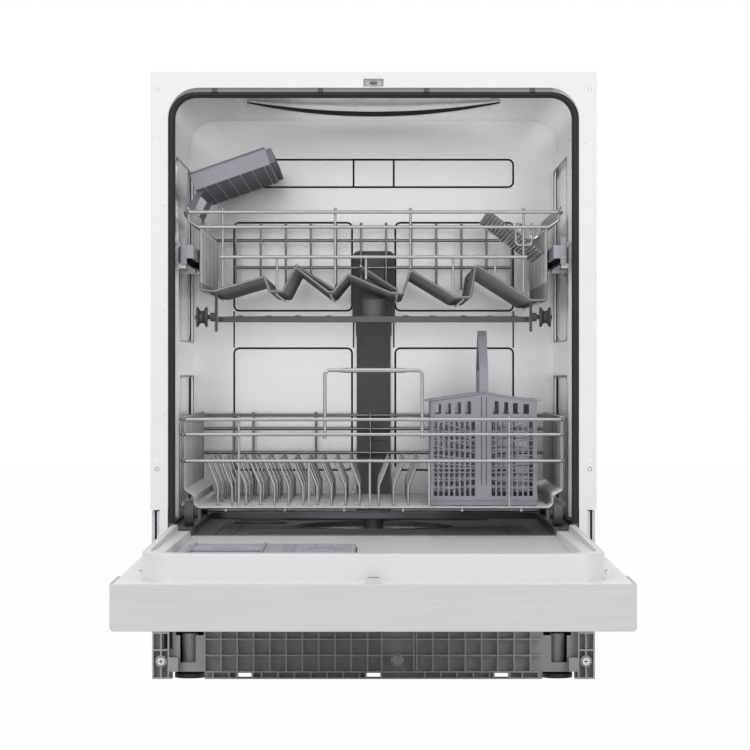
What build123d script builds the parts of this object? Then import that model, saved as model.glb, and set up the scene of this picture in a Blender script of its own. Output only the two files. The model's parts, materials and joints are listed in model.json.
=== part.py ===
from build123d import *
import os
from math import cos, sin, radians

os.makedirs("parts", exist_ok=True)

# Sizes are in millimetres. While the pieces are made, Y is 0 at the face of the front frame,
# +Y runs to the rear, X is 0 at mid width and Z is 0 at the floor.

# Cabinet
cab_w = 598.0
cab_h = 818.0
cab_d = 550.0
steel = 0.8
frame_t = 1.2
leg_end_z = 230.7
leg_inner_w = 574.0
leg_foot_z = 186.5
panel_front_y = 20.3
fix_hole_span_x = 580.0
fix_hole_top_z = 794.2
fix_hole_low_z = 285.4
fix_hole_r = 2.6

# Tub
tub_w = 555.0
tub_top = 797.0
tub_back = 510.0
tub_front = 2.0
tub_r = 38.0
tub_floor_z = 196.0
tub_floor_t = 10.0
tub_floor_front = 14.0
ledge_z = 205.0
ledge_inner_w = 487.0
seat_gap = 0.3
groove_w = 2.4
groove_deep = 0.4
insulation_t = 3.0

# Door seal
seal_in_w = 533.6
seal_out_w = 551.2
seal_in_top = 784.5
seal_out_top = 791.2
seal_in_r = 29.0
seal_out_r = 36.0
seal_y0 = 2.4
seal_y1 = 14.0
seal_end_z = 213.0

# Door
hinge_y = -3.3
hinge_z = 182.2
open_deg = 90.7
pin_r = 4.0
pin_gap = 0.05
door_gap = 2.0
fascia_w = 596.0
fascia_t = 54.0
fascia_top = 812.0
fascia_h = 116.0
fascia_wall = 1.2
skin_w = 591.0
skin_t = 34.0
door_bottom = 136.0
rim_w = 532.4
rim_high = 31.3
rim_top = 783.5
rim_r = 40.0
rim_end = 30.0
dish_floor_y = 10.3
dish_end_z = 172.0
track_w = 15.5
liner_t = 0.8

# Detergent dispenser, seen on the closed door from inside
disp_x0 = -234.0
disp_w = 212.0
disp_z0 = 397.0
disp_h = 170.0
disp_proud = 4.5

# Control buttons
button_r = 7.0
button_travel = 1.2
button_gap = 0.3
button_z = 776.0

# Base
base_front = 30.0
base_deep_y = 46.0
base_wall = 3.0
base_low_z = 1.0
base_top_z = 122.0
base_rear = 530.0
rib_t = 2.2
grid_pitch = 22.0

# Feet
foot_x = 250.0
foot_front_y = 68.0
foot_rear_y = 470.0
foot_r = 21.0
foot_h = 8.0
stem_r = 5.0
stem_gap = 0.06

# Upper basket
wire_r = 1.8
rail_wire_r = 2.3
weld = 0.12
up_front = 40.0
up_half = 234.0
up_top_z = 632.4
up_mid_z = 612.0
up_low_z = 571.5
up_top_half = 255.0
floor_pitch = 36.0
floor_count = 12
floor_first_y = 44.0

# Rails and rollers of the upper basket
runner_z = 575.0
runner_x1 = 266.1
runner_y0 = 55.0
runner_y1 = 476.0
roller_r = 11.0
roller_gap = 0.3
roller_w = 7.4
runner_t = 1.0
roller_y_front = 267.0
roller_y_rear = 432.0

# Lower basket
low_front = 40.0
low_half = 256.0
low_rail_half = 260.0
low_top_z = 351.4
low_mid_z = 331.1
low_low_z = 295.2
low_floor_z = 232.0
wheel_r = 17.0
wheel_w = 12.0
wheel_gap = 0.3
wheel_y_front = 85.0
wheel_y_rear = 430.0

# Spray arms and sump
hub_y = 260.0
arm_up_z = 487.0
arm_up_half = 222.0
arm_low_z = 208.0
arm_low_half = 218.0
arm_h = 9.0
sump_r = 104.5
sump_low_z = 108.0
filter_r = 30.0

# Cutlery basket
cut_x0 = 77.9
cut_w = 144.6
cut_front = 60.0
cut_depth = 150.0
cut_peak_z = 389.0
cut_wall = 2.2

half_w = cab_w / 2
tub_half = tub_w / 2
door_in_y = -door_gap
fascia_y0 = door_in_y - fascia_t
skin_y0 = door_in_y - skin_t
rim_y = door_in_y + rim_high
fascia_z0 = fascia_top - fascia_h
door_reach = fascia_top - hinge_z
open_tip_y = hinge_y - door_reach * sin(radians(open_deg)) + (door_in_y - hinge_y) * cos(radians(open_deg))
shift_y = -(open_tip_y + cab_d) / 2


def block(x0, x1, y0, y1, z0, z1):
    """A box between two corners."""
    centre = Pos((x0 + x1) / 2, (y0 + y1) / 2, (z0 + z1) / 2)
    return centre * Box(abs(x1 - x0), abs(y1 - y0), abs(z1 - z0))


def both(shape):
    """A shape and its mirror image across the middle of the machine."""
    return [shape, mirror(shape, about=Plane.YZ)]


def fuse(shapes):
    """All shapes joined in one step."""
    first, *rest = shapes
    return first.fuse(*rest) if rest else first


def rod(start, end, r):
    """A straight round bar between two points."""
    line = Line(start, end)
    return sweep((line ^ 0) * Circle(r), path=line)


def bent(points, r, bend):
    """A round wire along straight runs with rounded corners."""
    path = FilletPolyline(*points, radius=bend)
    return sweep((path ^ 0) * Circle(r), path=path)


def disc(centre, axis, r, length):
    """A round bar that starts at a centre and runs along an axis."""
    return Plane(origin=centre, z_dir=axis) * Cylinder(r, length, align=(Align.CENTER, Align.CENTER, Align.MIN))


def arch(width, z0, z1, r):
    """A flat outline in X and Z, square below and rounded above."""
    face = Pos(0, (z0 + z1) / 2) * Rectangle(width, z1 - z0)
    return fillet(face.vertices().group_by(Axis.Y)[-1], r)


def along_y(face, y0, y1):
    """Thickens a flat X and Z outline from y0 to y1."""
    return extrude(Plane(origin=(0, y1, 0), x_dir=(1, 0, 0), z_dir=(0, -1, 0)) * face, y1 - y0, dir=(0, -1, 0))


def along_x(points, x0, x1):
    """Thickens an outline of (y, z) points from x0 to x1."""
    face = Plane(origin=(x0, 0, 0), x_dir=(0, 1, 0), z_dir=(1, 0, 0)) * Polygon(*points, align=None)
    return extrude(face, x1 - x0, dir=(1, 0, 0))


def opened(shape):
    """Turns a piece of the closed door down to the open door."""
    return Pos(0, hinge_y, hinge_z) * Rot(open_deg, 0, 0) * Pos(0, -hinge_y, -hinge_z) * shape


def save(name, shapes):
    """Moves a node into the part's own frame and writes it."""
    solids = [solid for shape in shapes for solid in shape.solids()]
    node = solids[0] if len(solids) == 1 else Compound(children=solids)
    node = Pos(0, shift_y, 0) * node
    node.label = name
    export_step(node, f"parts/{name}.step")


# Cabinet pieces


def tub_shell():
    """Stainless wrap of ceiling and side walls, and the rear wall welded to it, with sunk lines."""
    z0 = tub_floor_z - tub_floor_t
    outline = arch(tub_w + 2 * steel, z0, tub_top + steel, tub_r + steel)
    inner = along_y(arch(tub_w, z0 - 1, tub_top, tub_r), tub_front - 1, tub_back + 1)
    wrap = along_y(outline, tub_front, tub_back) - inner
    lines = []
    for x0, x1, low, high, corner in rear_panels():
        face = Pos((x0 + x1) / 2, (low + high) / 2) * RectangleRounded(x1 - x0, high - low, corner)
        inside = RectangleRounded(x1 - x0 - 2 * groove_w, high - low - 2 * groove_w, corner - groove_w)
        ring = face - Pos((x0 + x1) / 2, (low + high) / 2) * inside
        lines.append(along_y(ring, tub_back - 1, tub_back + groove_deep))
    rear = along_y(outline, tub_back, tub_back + steel) - lines
    bead = along_y(crescent(), 60, 330) & along_y(arch(tub_w, z0, tub_top + 1, tub_r), 0, tub_back)
    return [fuse([wrap, bead, *side_pads()]), rear]


def rear_panels():
    """The sunk outlines of the rear wall: left, right, bottom, top and corner radius."""
    top_low, top_high = 694.5, 738.3
    mid_low, mid_high = 507.7, 643.0
    foot_low, foot_high = 267.0, 453.3
    span, centre = 212.0, 31.5
    panels = [(-span, span, top_low, top_high, 9.0), (-centre, centre, top_low, top_high, 3.0)]
    for low, high in ((mid_low, mid_high), (foot_low, foot_high)):
        panels.append((-span, -centre, low, high, 9.0))
        panels.append((centre, span, low, high, 9.0))
    return panels


def crescent():
    """The pressed bead of the ceiling, lowest at mid span."""
    half, drop, thick = 168.0, 9.0, 3.0
    lower = ThreePointArc((-half, tub_top - 1), (0, tub_top - drop), (half, tub_top - 1))
    upper = ThreePointArc((half, tub_top - 1), (0, tub_top - drop + thick), (-half, tub_top - 1))
    return make_face([lower, upper])


def side_pads():
    """Shallow pressed pads that stiffen the side walls."""
    rise = 0.7
    pads = []
    for z0, z1 in ((245.0, 430.0), (456.0, 540.0), (612.0, 700.0)):
        pad = block(tub_half - rise, tub_half, 60, 470, z0, z1)
        pads += both(fillet(pad.edges().filter_by(Axis.X), 12))
    return pads


def front_frame():
    """White front frame: flange with two legs, edge returns, fixing holes and the latch window."""
    face = along_y(arch(cab_w, leg_foot_z, cab_h, 2), 0, frame_t)
    mouth = along_y(arch(seal_out_w + 0.6, leg_foot_z - 1, tub_top - 0.1, seal_out_r + 5), -1, frame_t + 1)
    face = face - mouth
    for side in (-1, 1):
        face = face - block(side * leg_inner_w / 2, side * (half_w + 1), -1, frame_t + 1, 0, leg_end_z)
        for z in (fix_hole_top_z, fix_hole_low_z):
            face = face - disc((side * fix_hole_span_x / 2, -1, z), (0, 1, 0), fix_hole_r, frame_t + 2)
    face = face - block(-striker_half, striker_half, -1, frame_t + 1, striker_z0, striker_z1)
    side_return = block(half_w - frame_t, half_w, frame_t, panel_front_y - 0.3, leg_end_z, cab_h - 2)
    lip_x0 = seal_out_w / 2 + 0.3
    lip = block(lip_x0, tub_half, frame_t, seal_y1 + 2, seal_end_z, tub_top - tub_r)
    top = block(-half_w + 2, half_w - 2, frame_t, panel_front_y - 0.3, cab_h - frame_t, cab_h)
    return fuse([face, top, *both(side_return), *both(lip)])


striker_half = 13.3
striker_z0 = 798.6
striker_z1 = 809.6


def latch_striker():
    """Striker behind the window of the frame, with a holed tongue for the door's latch."""
    back = block(-striker_half - 6, striker_half + 6, 13, 15, striker_z0 + 0.4, striker_z1 - 0.4)
    ears = both(block(striker_half + 3, striker_half + 5, frame_t, 13, striker_z0 + 0.4, striker_z1 - 0.4))
    tongue = block(-4, 4, -8, 13, 803, 805)
    slot = block(-2, 2, -6, -1, 802, 806)
    return fuse([back, *ears, tongue]) - slot


def seal_strip():
    """Steel strip above the seal, with four clips."""
    strip = block(-240, 240, seal_y0, seal_y0 + 1, seal_out_top + 0.2, tub_top - 0.3)
    shapes = [strip]
    for i in range(4):
        x = (i - 1.5) * 142.1
        shapes.append(block(x - 3.2, x + 3.2, 0.6, seal_y0, seal_out_top + 0.6, tub_top - 0.8))
    return shapes


def door_seal():
    """Rubber seal round the mouth, with a lip that stands proud of it."""
    outer = along_y(arch(seal_out_w, seal_end_z, seal_out_top, seal_out_r), seal_y0, seal_y1)
    inner = along_y(arch(seal_in_w, seal_end_z - 1, seal_in_top, seal_in_r), seal_y0 - 1, seal_y1 + 1)
    trim = 3.0
    step = along_y(arch(seal_in_w + 2 * trim, seal_end_z - 1, seal_in_top + trim, seal_in_r + trim), seal_y0 - 1,
                   seal_y0 + 2)
    return outer - inner - step


def corner_blocks():
    """Plastic end pieces of the seal at the tub's lower front corners."""
    low = tub_floor_z + 2
    body = block(seal_in_w / 2, leg_inner_w / 2 - 6, frame_t + 0.2, 20, low, seal_end_z - 0.2)
    body = body - block(tub_half - 0.2, half_w, tub_front - 0.2, 21, low - 1, seal_end_z)
    return both(fillet(body.edges().filter_by(Axis.Y).group_by(Axis.X)[0], 2))


def tub_floor():
    """Plastic floor of the tub: side ledges for the wheels, a rear step and holes for sump and softener."""
    z0 = tub_floor_z - tub_floor_t
    slab = block(-tub_half, tub_half, tub_floor_front, tub_back, z0, tub_floor_z)
    ledges = both(block(ledge_inner_w / 2, tub_half, tub_floor_front, tub_back, tub_floor_z, ledge_z))
    step = block(-ledge_inner_w / 2, ledge_inner_w / 2, tub_back - 28, tub_back, tub_floor_z, ledge_z)
    floor = fuse([slab, *ledges, step])
    floor = floor - disc((0, hub_y, z0 - 1), (0, 0, 1), sump_r + 0.2, tub_floor_t + 2)
    floor = floor - disc((salt_x, salt_y, z0 - 1), (0, 0, 1), salt_r + 0.2, tub_floor_t + 2)
    return floor


salt_x = -165.0
salt_y = 350.0
salt_r = 37.0


def sump():
    """Bowl under the floor, with the post of the lower spray arm."""
    top = tub_floor_z - 6
    wall = 3.0
    low = sump_low_z
    bowl = [(sump_r, top), (sump_r, 152), (60, 128), (60, low), (0, low), (0, low + wall), (60 - wall, low + wall),
            (60 - wall, 130), (sump_r - wall, 154), (sump_r - wall, top)]
    face = Plane.XZ * Polygon(*bowl, align=None)
    post = Cylinder(14, arm_low_z - 0.4 - low - wall, align=(Align.CENTER, Align.CENTER, Align.MIN))
    pin = Cylinder(5, 8, align=(Align.CENTER, Align.CENTER, Align.MIN))
    body = fuse([revolve(face, Axis.Z), Pos(0, 0, low + wall) * post, Pos(0, 0, arm_low_z - 0.4) * pin])
    return Pos(0, hub_y, 0) * body


filter_x = 58.0
filter_dy = -34.0


def filter_plate():
    """Perforated steel plate over the bowl."""
    top = tub_floor_z - 6
    plate = disc((0, hub_y, top), (0, 0, 1), sump_r - 0.3, 1.2)
    cuts = [disc((0, hub_y, top - 1), (0, 0, 1), 14.3, 4)]
    cuts.append(disc((filter_x, hub_y + filter_dy, top - 1), (0, 0, 1), filter_r + 0.3, 4))
    for ring_r, count in ((92.0, 36), (82.0, 32)):
        for i in range(count):
            turn = radians(360 / count * i)
            spot = (ring_r * cos(turn), hub_y + ring_r * sin(turn), top - 1)
            cuts.append(disc(spot, (0, 0, 1), 2.2, 4))
    return plate - cuts


def filter_cup():
    """Turn-out filter cup with a grip bar across its mouth."""
    top = tub_floor_z - 3
    deep = 40.0
    cup = disc((filter_x, hub_y + filter_dy, top - deep), (0, 0, 1), filter_r, deep)
    cup = cup - disc((filter_x, hub_y + filter_dy, top - deep + 2), (0, 0, 1), filter_r - 2, deep)
    bar = block(filter_x - filter_r + 1, filter_x + filter_r - 1, hub_y + filter_dy - 2, hub_y + filter_dy + 2,
                top - 14, top)
    return fuse([cup, bar])


def salt_cap():
    """Round cap of the softener's salt fill, with a raised grip."""
    cap = disc((salt_x, salt_y, tub_floor_z - 4), (0, 0, 1), salt_r - 1, 7)
    grip = block(salt_x - salt_r + 8, salt_x + salt_r - 8, salt_y - 4, salt_y + 4, tub_floor_z + 3, tub_floor_z + 8)
    return fuse([cap, grip])


def softener_tank():
    """Softener beside the sump, with its neck under the salt cap."""
    tank = block(-270, salt_x + salt_r, salt_y - 60, salt_y + 80, 70, 172)
    tank = fillet(tank.edges().filter_by(Axis.Z), 14)
    neck = disc((salt_x, salt_y, 172), (0, 0, 1), salt_r - 3, tub_floor_z - 172 - 4.3)
    return fuse([tank, neck])


def water_duct():
    """Wall duct that feeds the upper spray arm, with raised bands and a cap."""
    half, depth = 25.5, 23.0
    y0 = tub_back - depth
    shapes = [block(-half, half, y0 + 1.5, tub_back, ledge_z, 470.7)]
    shapes.append(block(-half - 1.5, half + 1.5, y0, tub_back, 470.7, 491.8))
    shapes += both(block(half - 3, half, y0, y0 + 1.5, ledge_z, 470.7))
    for z in (459.9, 393.6, 332.6, 315.3):
        shapes.append(block(-half, half, y0, y0 + 1.5, z - 2, z + 2))
    return fuse(shapes)


dock_z = 574.0


def duct_dock():
    """Docking housing on the duct, with the ring that takes the basket's nozzle."""
    half = 32.0
    y0 = tub_back - 23
    body = block(-half, half, y0, tub_back, 491.8, 598)
    body = fillet(body.edges().filter_by(Axis.Y).group_by(Axis.Z)[-1], 10)
    ring = disc((0, y0 - 2.5, dock_z), (0, 1, 0), 14, 2.5)
    hole = disc((0, y0 - 3, dock_z), (0, 1, 0), 10.5, 18)
    web = block(-half + 8, half - 8, y0 - 1.2, y0, 500, 552)
    return fuse([body, ring, web]) - hole


def rail_guides():
    """Guides on the side walls that carry the sliding runners."""
    high = roller_r + roller_gap + runner_t
    x1 = tub_half
    x0 = runner_x1 - roller_w - 3.5
    shapes = []
    for y in (72.0, 290.0):
        plate = block(x1 - 0.9, x1, y - 22, y + 22, runner_z - high - 12, runner_z + high + 12)
        for side in (-1, 1):
            low = runner_z + side * (high + 0.3)
            plate = fuse([plate, block(x0, x1 - 0.9, y - 16, y + 16, low, low + side * 5)])
        shapes += both(plate)
    return shapes


def runners():
    """Steel channels that slide half way with the upper basket."""
    high = roller_r + roller_gap
    x1, y0, y1 = runner_x1, runner_y0, runner_y1
    x0 = x1 - roller_w - 2.8
    outer = block(x0, x1, y0, y1, runner_z - high - runner_t, runner_z + high + runner_t)
    inner = block(x0 - 1, x1 - runner_t, y0 - 1, y1 + 1, runner_z - high, runner_z + high)
    lips = [block(x0, x0 + runner_t, y0, y1, runner_z + s * (high - 2.5), runner_z + s * high) for s in (-1, 1)]
    return both(fuse([outer - inner, *lips]))


def insulation():
    """Bitumen and felt wrap outside the tub."""
    gap = steel
    z0 = leg_end_z
    outer_w = tub_w + 2 * gap + 2 * insulation_t
    outer = along_y(arch(outer_w, z0, tub_top + gap + insulation_t, tub_r + gap + insulation_t), 24,
                    tub_back + gap + insulation_t)
    inner = along_y(arch(tub_w + 2 * gap, z0 - 1, tub_top + gap, tub_r + gap), 23, tub_back + gap)
    return outer - inner


def side_panels():
    """Galvanised side sheets with pressed ribs and folded top and rear edges."""
    z0, z1 = base_top_z + seat_gap, cab_h - frame_t - 0.2
    y1 = cab_d
    sheet = block(half_w - steel, half_w, panel_front_y, y1, z0, z1)
    cut = block(half_w - 2, half_w + 1, panel_front_y - 1, base_deep_y + 4, z0 - 1, leg_end_z)
    fold = block(half_w - 16, half_w - steel, panel_front_y, y1, z1 - steel, z1)
    back = block(half_w - 16, half_w - steel, y1 - steel, y1, z0, z1 - steel)
    panel = fuse([sheet, fold, back]) - cut
    for z in (330.0, 540.0, 720.0):
        rib = block(half_w - steel - 1.2, half_w - steel, 90, 480, z - 10, z + 10)
        panel = fuse([panel, fillet(rib.edges().filter_by(Axis.X), 9)])
    return both(panel)


def rear_brace():
    """Angle bar across the rear top, and the two tabs that screw to a worktop."""
    y1 = cab_d - steel - seat_gap
    z1 = cab_h - frame_t - 0.2 - steel - 0.3
    bar = block(-half_w + steel + 0.2, half_w - steel - 0.2, y1 - 1.2, y1, z1 - 30, z1)
    top = block(-half_w + 18, half_w - 18, y1 - 22, y1 - 1.2, z1 - 1.2, z1)
    return fuse([bar, top])


def rear_panel():
    """Galvanised lower rear sheet, above the hose recess."""
    y1 = cab_d - steel - seat_gap
    z0 = base_top_z + seat_gap
    sheet = block(-half_w + steel + 0.2, half_w - steel - 0.2, y1 - 1, y1, z0, 250)
    rib = block(-220, 220, y1 - 3, y1 - 1, 170, 200)
    foot = block(-tub_half + 20, tub_half - 20, base_rear - 4, y1 - 1, z0, z0 + 1)
    return fuse([sheet, rib, foot])


def wash_pump():
    """Wash pump with its motor, under the sump."""
    y, z = hub_y + 110, 70.0
    volute = disc((-12, y, z), (1, 0, 0), 42, 34)
    motor = disc((22, y, z), (1, 0, 0), 34, 96)
    cap = disc((118, y, z), (1, 0, 0), 26, 12)
    inlet = disc((-36, y, z), (1, 0, 0), 20, 24)
    elbow = bent([(-26, y, z), (-46, y, z), (-46, hub_y + 10, z), (-46, hub_y + 10, sump_low_z - seat_gap)], 10, 14)
    return fuse([volute, motor, cap, inlet, elbow])


def drain_pump():
    """Drain pump at the side of the sump, with its hose run to the rear outlet."""
    z = drain_z
    body = disc((96, hub_y - 60, z), (0, -1, 0), 27, 30)
    motor = block(74, 118, hub_y - 130, hub_y - 90, z - 22, z + 22)
    hose = bent([(96, hub_y - 62, z), (96, hub_y - 30, z), (drain_x, hub_y - 10, z), (drain_x, base_rear + 4, z)], 9, 18)
    spigot = disc((drain_x, base_rear, z), (0, 1, 0), drain_r, 17)
    return fuse([body, motor, hose, spigot])


drain_x = 190.0
drain_z = 66.0
drain_r = 10.0


valve_x = 240.0
valve_z = 66.0
thread_r = 13.2


def inlet_valve():
    """Water inlet valve with a three-quarter inch spigot through the rear wall."""
    body = block(valve_x - 20, valve_x + 20, base_rear - 46, base_rear - base_wall, valve_z - 18, valve_z + 30)
    neck = disc((valve_x, base_rear - base_wall, valve_z), (0, 1, 0), thread_r - 0.7, base_wall + 1)
    spigot = disc((valve_x, base_rear + 0.5, valve_z), (0, 1, 0), thread_r, 17.5)
    bore = disc((valve_x, base_rear, valve_z), (0, 1, 0), 7.5, 40)
    coil = disc((valve_x, base_rear - 26, valve_z + 30), (0, 0, 1), 12, 24)
    return fuse([body, neck, spigot, coil]) - bore


gland_x = -230.0
gland_z = 66.0
gland_r = 5.0


def air_break():
    """Flat water box between the tub's left wall and the side sheet."""
    x0 = tub_half + steel + insulation_t + 0.3
    body = block(-half_w + 3.2, -x0, 140, 420, 262, 560)
    return fillet(body.edges().filter_by(Axis.X), 14)


def door_springs():
    """Two stretched springs in the base sides that balance the door."""
    x = half_w - 14
    shapes = []
    for side in (-1, 1):
        shapes.append(disc((side * x, 120, 96), (0, 1, 0), 8, 230))
        shapes.append(rod((side * x, 349.9, 96), (side * x, spring_end_y, 96), 1.6))
        shapes.append(rod((side * x, base_deep_y + 12.6, 96), (side * x, 120.1, 96), 1.6))
    return shapes


spring_end_y = 384.0
lug_x0 = 287.5
lug_t = 3.0


def hinge_brackets():
    """Hinge bracket each side: a front plate with a slot, a side plate and the lug that holds the pin."""
    low = base_top_z + seat_gap
    side_outline = [(6, 186.5), (46, 186.5), (52, 180), (52, low), (72, low), (72, 229), (3.2, 229), (3.2, 196),
                    (-7.5, 188.5), (-9, 181), (-4, 176), (2, 177)]
    side = along_x(side_outline, lug_x0, lug_x0 + lug_t)
    front = block(280.4, lug_x0, 3.2, 5.2, 192, 229) - disc((284.1, 2, 207.7), (0, 1, 0), 2.6, 6)
    pin = disc((lug_x0 - 1.5, hinge_y, hinge_z), (1, 0, 0), pin_r, 8.2)
    return both(fuse([side, front, pin]))


# Base


def base_tray():
    """Base: floor, side walls and rear wall, with sleeves for the feet and holes at the rear."""
    z1 = base_top_z
    y0 = base_deep_y + 0.3
    outer = block(-half_w, half_w, y0, base_rear, base_low_z, z1)
    cavity = block(-half_w + base_wall, half_w - base_wall, y0 - 1, base_rear - base_wall, 13, z1 + 1)
    under = block(-half_w + base_wall, half_w - base_wall, y0 - 1, base_rear - base_wall, 0, 10)
    body = outer - cavity - under
    seat_z = tub_floor_z - tub_floor_t - seat_gap
    upright = block(tub_half - 14, half_w - steel - 0.3, 436, 500, z1 - 1, seat_z)
    hook = block(half_w - 24, half_w - base_wall + 1, spring_end_y + seat_gap, spring_end_y + 6, 84, 108)
    beam = block(-half_w + 15, half_w - 15, y0, y0 + 12, z1 - 12, seat_z)
    body = fuse([body, beam, *both(upright), *both(hook)])
    for x in (-foot_x, foot_x):
        body = fuse([body, disc((x, foot_front_y, 10), (0, 0, 1), 11, 50)])
        body = body - disc((x, foot_front_y, 5), (0, 0, 1), stem_r + stem_gap, 80)
    body = fuse([body, disc((0, foot_rear_y, 10), (0, 0, 1), 11, 50)])
    body = body - disc((0, foot_rear_y, 5), (0, 0, 1), stem_r + stem_gap, 80)
    body = body - disc((valve_x, base_rear - 10, valve_z), (0, 1, 0), thread_r + 0.3, 20)
    body = body - disc((drain_x, base_rear - 10, drain_z), (0, 1, 0), drain_r + 0.3, 20)
    neck = disc((gland_x, base_rear - base_wall, gland_z), (0, 1, 0), gland_r + 4, base_wall + 6)
    body = fuse([body, neck]) - disc((gland_x, base_rear - 10, gland_z), (0, 1, 0), gland_r, 30)
    return body


def base_face():
    """Ribbed front of the base: grid, centre recess, corner towers, foot windows and three low windows."""
    y0, y1 = base_front, base_deep_y
    back = block(-half_w, half_w, y1 - 2.5, y1, base_low_z, base_top_z)
    shapes = [back]
    for z in (10.7, 32.8, 54.6, 76.5, 98.4):
        shapes.append(block(-foot_win0, foot_win0, y0, y1 - 2.5, z - rib_t / 2, z + rib_t / 2))
    shapes.append(block(-half_w, half_w, y0, y1 - 2.5, base_low_z, base_low_z + rib_t))
    for i in range(21):
        x = -228.0 + grid_pitch * i
        if not recess_x0 < x < recess_x1:
            shapes.append(block(x - rib_t / 2, x + rib_t / 2, y0, y1 - 2.5, 10.7, 98.4))
            shapes.append(block(x + 9.9, x + 12.1, y0 + 0.1, y1 - 2.5, base_low_z, 10.7))
    for x in (recess_x0, recess_x1):
        shapes.append(block(x - rib_t / 2, x + rib_t / 2, y0, y1 - 2.5, 10.7, 98.4))
    for x in (-174.0, 0.0, 173.0):
        shapes.append(block(x - 12, x + 12, y0 + 0.1, y1 - 2.5, base_low_z, 10.7))
    shapes.append(disc((adjust_x, y1 - 2.5, adjust_z), (0, -1, 0), 9.5, 11))
    for side in (-1, 1):
        shapes += tower(side)
    body = fuse(shapes)
    cuts = [block(x - 9.2, x + 9.2, y0 - 1, y1 + 1, 2.6, 9.2) for x in (-174.0, 0.0, 173.0)]
    cuts.append(disc((adjust_x, y1 + 1, adjust_z), (0, -1, 0), shaft_r + 0.3, 20))
    cuts.append(disc((adjust_x, y0 - 1, adjust_z), (0, 1, 0), 7, 10.3))
    for side in (-1, 1):
        x0, x1 = sorted((side * 241, side * 262))
        cuts.append(block(x0, x1, y0 - 1, y1 + 1, 22, 70))
        x0, x1 = sorted((side * 230, side * 268))
        cuts.append(block(x0, x1, y0 - 1, y1 + 1, 59, 84))
        cuts.append(disc((side * screw_x, y0 - 1, screw_z), (0, 1, 0), 2.4, 24))
        x0, x1 = sorted((side * (foot_x - foot_r - 1), side * (foot_x + foot_r + 1)))
        cuts.append(block(x0, x1, y0 - 1, y1 + 1, 0, foot_h + 1.5))
    return body - cuts


foot_win0 = 228.0
recess_x0 = 11.0
recess_x1 = 54.6
adjust_x = 32.7
adjust_z = 27.0
shaft_r = 4.0
screw_x = 287.0
screw_z = 25.0


def tower(side):
    """Stiff corner block of the base front with crossed ribs round the screw boss."""
    y0, y1 = base_front, base_deep_y - 2.5
    x0, x1 = side * 276.0, side * half_w
    shapes = [block(x0, x1, y0, y1, 40 - 1.1, 40 + 1.1), block(x0, x1, y0, y1, 62, 64.2)]
    shapes.append(block(x0, x0 + side * rib_t, y0, y1, base_low_z, base_top_z))
    shapes.append(block(x1 - side * rib_t, x1, y0, y1, base_low_z, base_top_z))
    shapes.append(block(side * screw_x - 1.1, side * screw_x + 1.1, y0, y1, base_low_z, base_top_z))
    shapes.append(disc((side * screw_x, y1, screw_z), (0, -1, 0), 7.5, y1 - y0))
    shapes.append(block(side * 228, side * 272, y0 + 2, y1, 84, 98))
    shapes.append(block(side * 264, x0, y0, y1, base_low_z + 10, 30))
    return shapes


def foot(x, y):
    """Levelling foot: round pad with a threaded stem."""
    pad = disc((x, y, 0), (0, 0, 1), foot_r, foot_h)
    pad = chamfer(pad.edges().group_by(Axis.Z)[-1], 2)
    hexagon = Plane(origin=(x, y, foot_h)) * RegularPolygon(8, 6)
    collar = extrude(hexagon, 1.4)
    stem = disc((x, y, foot_h), (0, 0, 1), stem_r, 66)
    return fuse([pad, collar, stem])


def front_feet():
    """The two front feet."""
    return [foot(-foot_x, foot_front_y), foot(foot_x, foot_front_y)]


def rear_foot():
    """The single rear foot."""
    return foot(0, foot_rear_y)


def adjuster_shaft():
    """Long shaft that turns the rear foot from the front of the base."""
    shaft = disc((adjust_x, base_front + 9, adjust_z), (0, 1, 0), shaft_r, foot_rear_y - base_front - 20)
    head = disc((adjust_x, base_front + 2, adjust_z), (0, 1, 0), 6.5, 7)
    slot = block(adjust_x - 5, adjust_x + 5, base_front + 1, base_front + 5, adjust_z - 0.8, adjust_z + 0.8)
    return fuse([shaft, head]) - slot


def base_screws():
    """Cross-head screws of the base corners."""
    shapes = []
    for side in (-1, 1):
        y0 = base_front
        head = disc((side * screw_x, y0 - 2.4, screw_z), (0, 1, 0), 4.8, 2.2)
        head = head - block(side * screw_x - 3, side * screw_x + 3, y0 - 3, y0 - 1.2, screw_z - 0.5, screw_z + 0.5)
        head = head - block(side * screw_x - 0.5, side * screw_x + 0.5, y0 - 3, y0 - 1.2, screw_z - 3, screw_z + 3)
        shapes.append(fuse([head, disc((side * screw_x, y0 - 0.4, screw_z), (0, 1, 0), 2.1, 18)]))
    return shapes


# Door, made closed and then turned open


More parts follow.
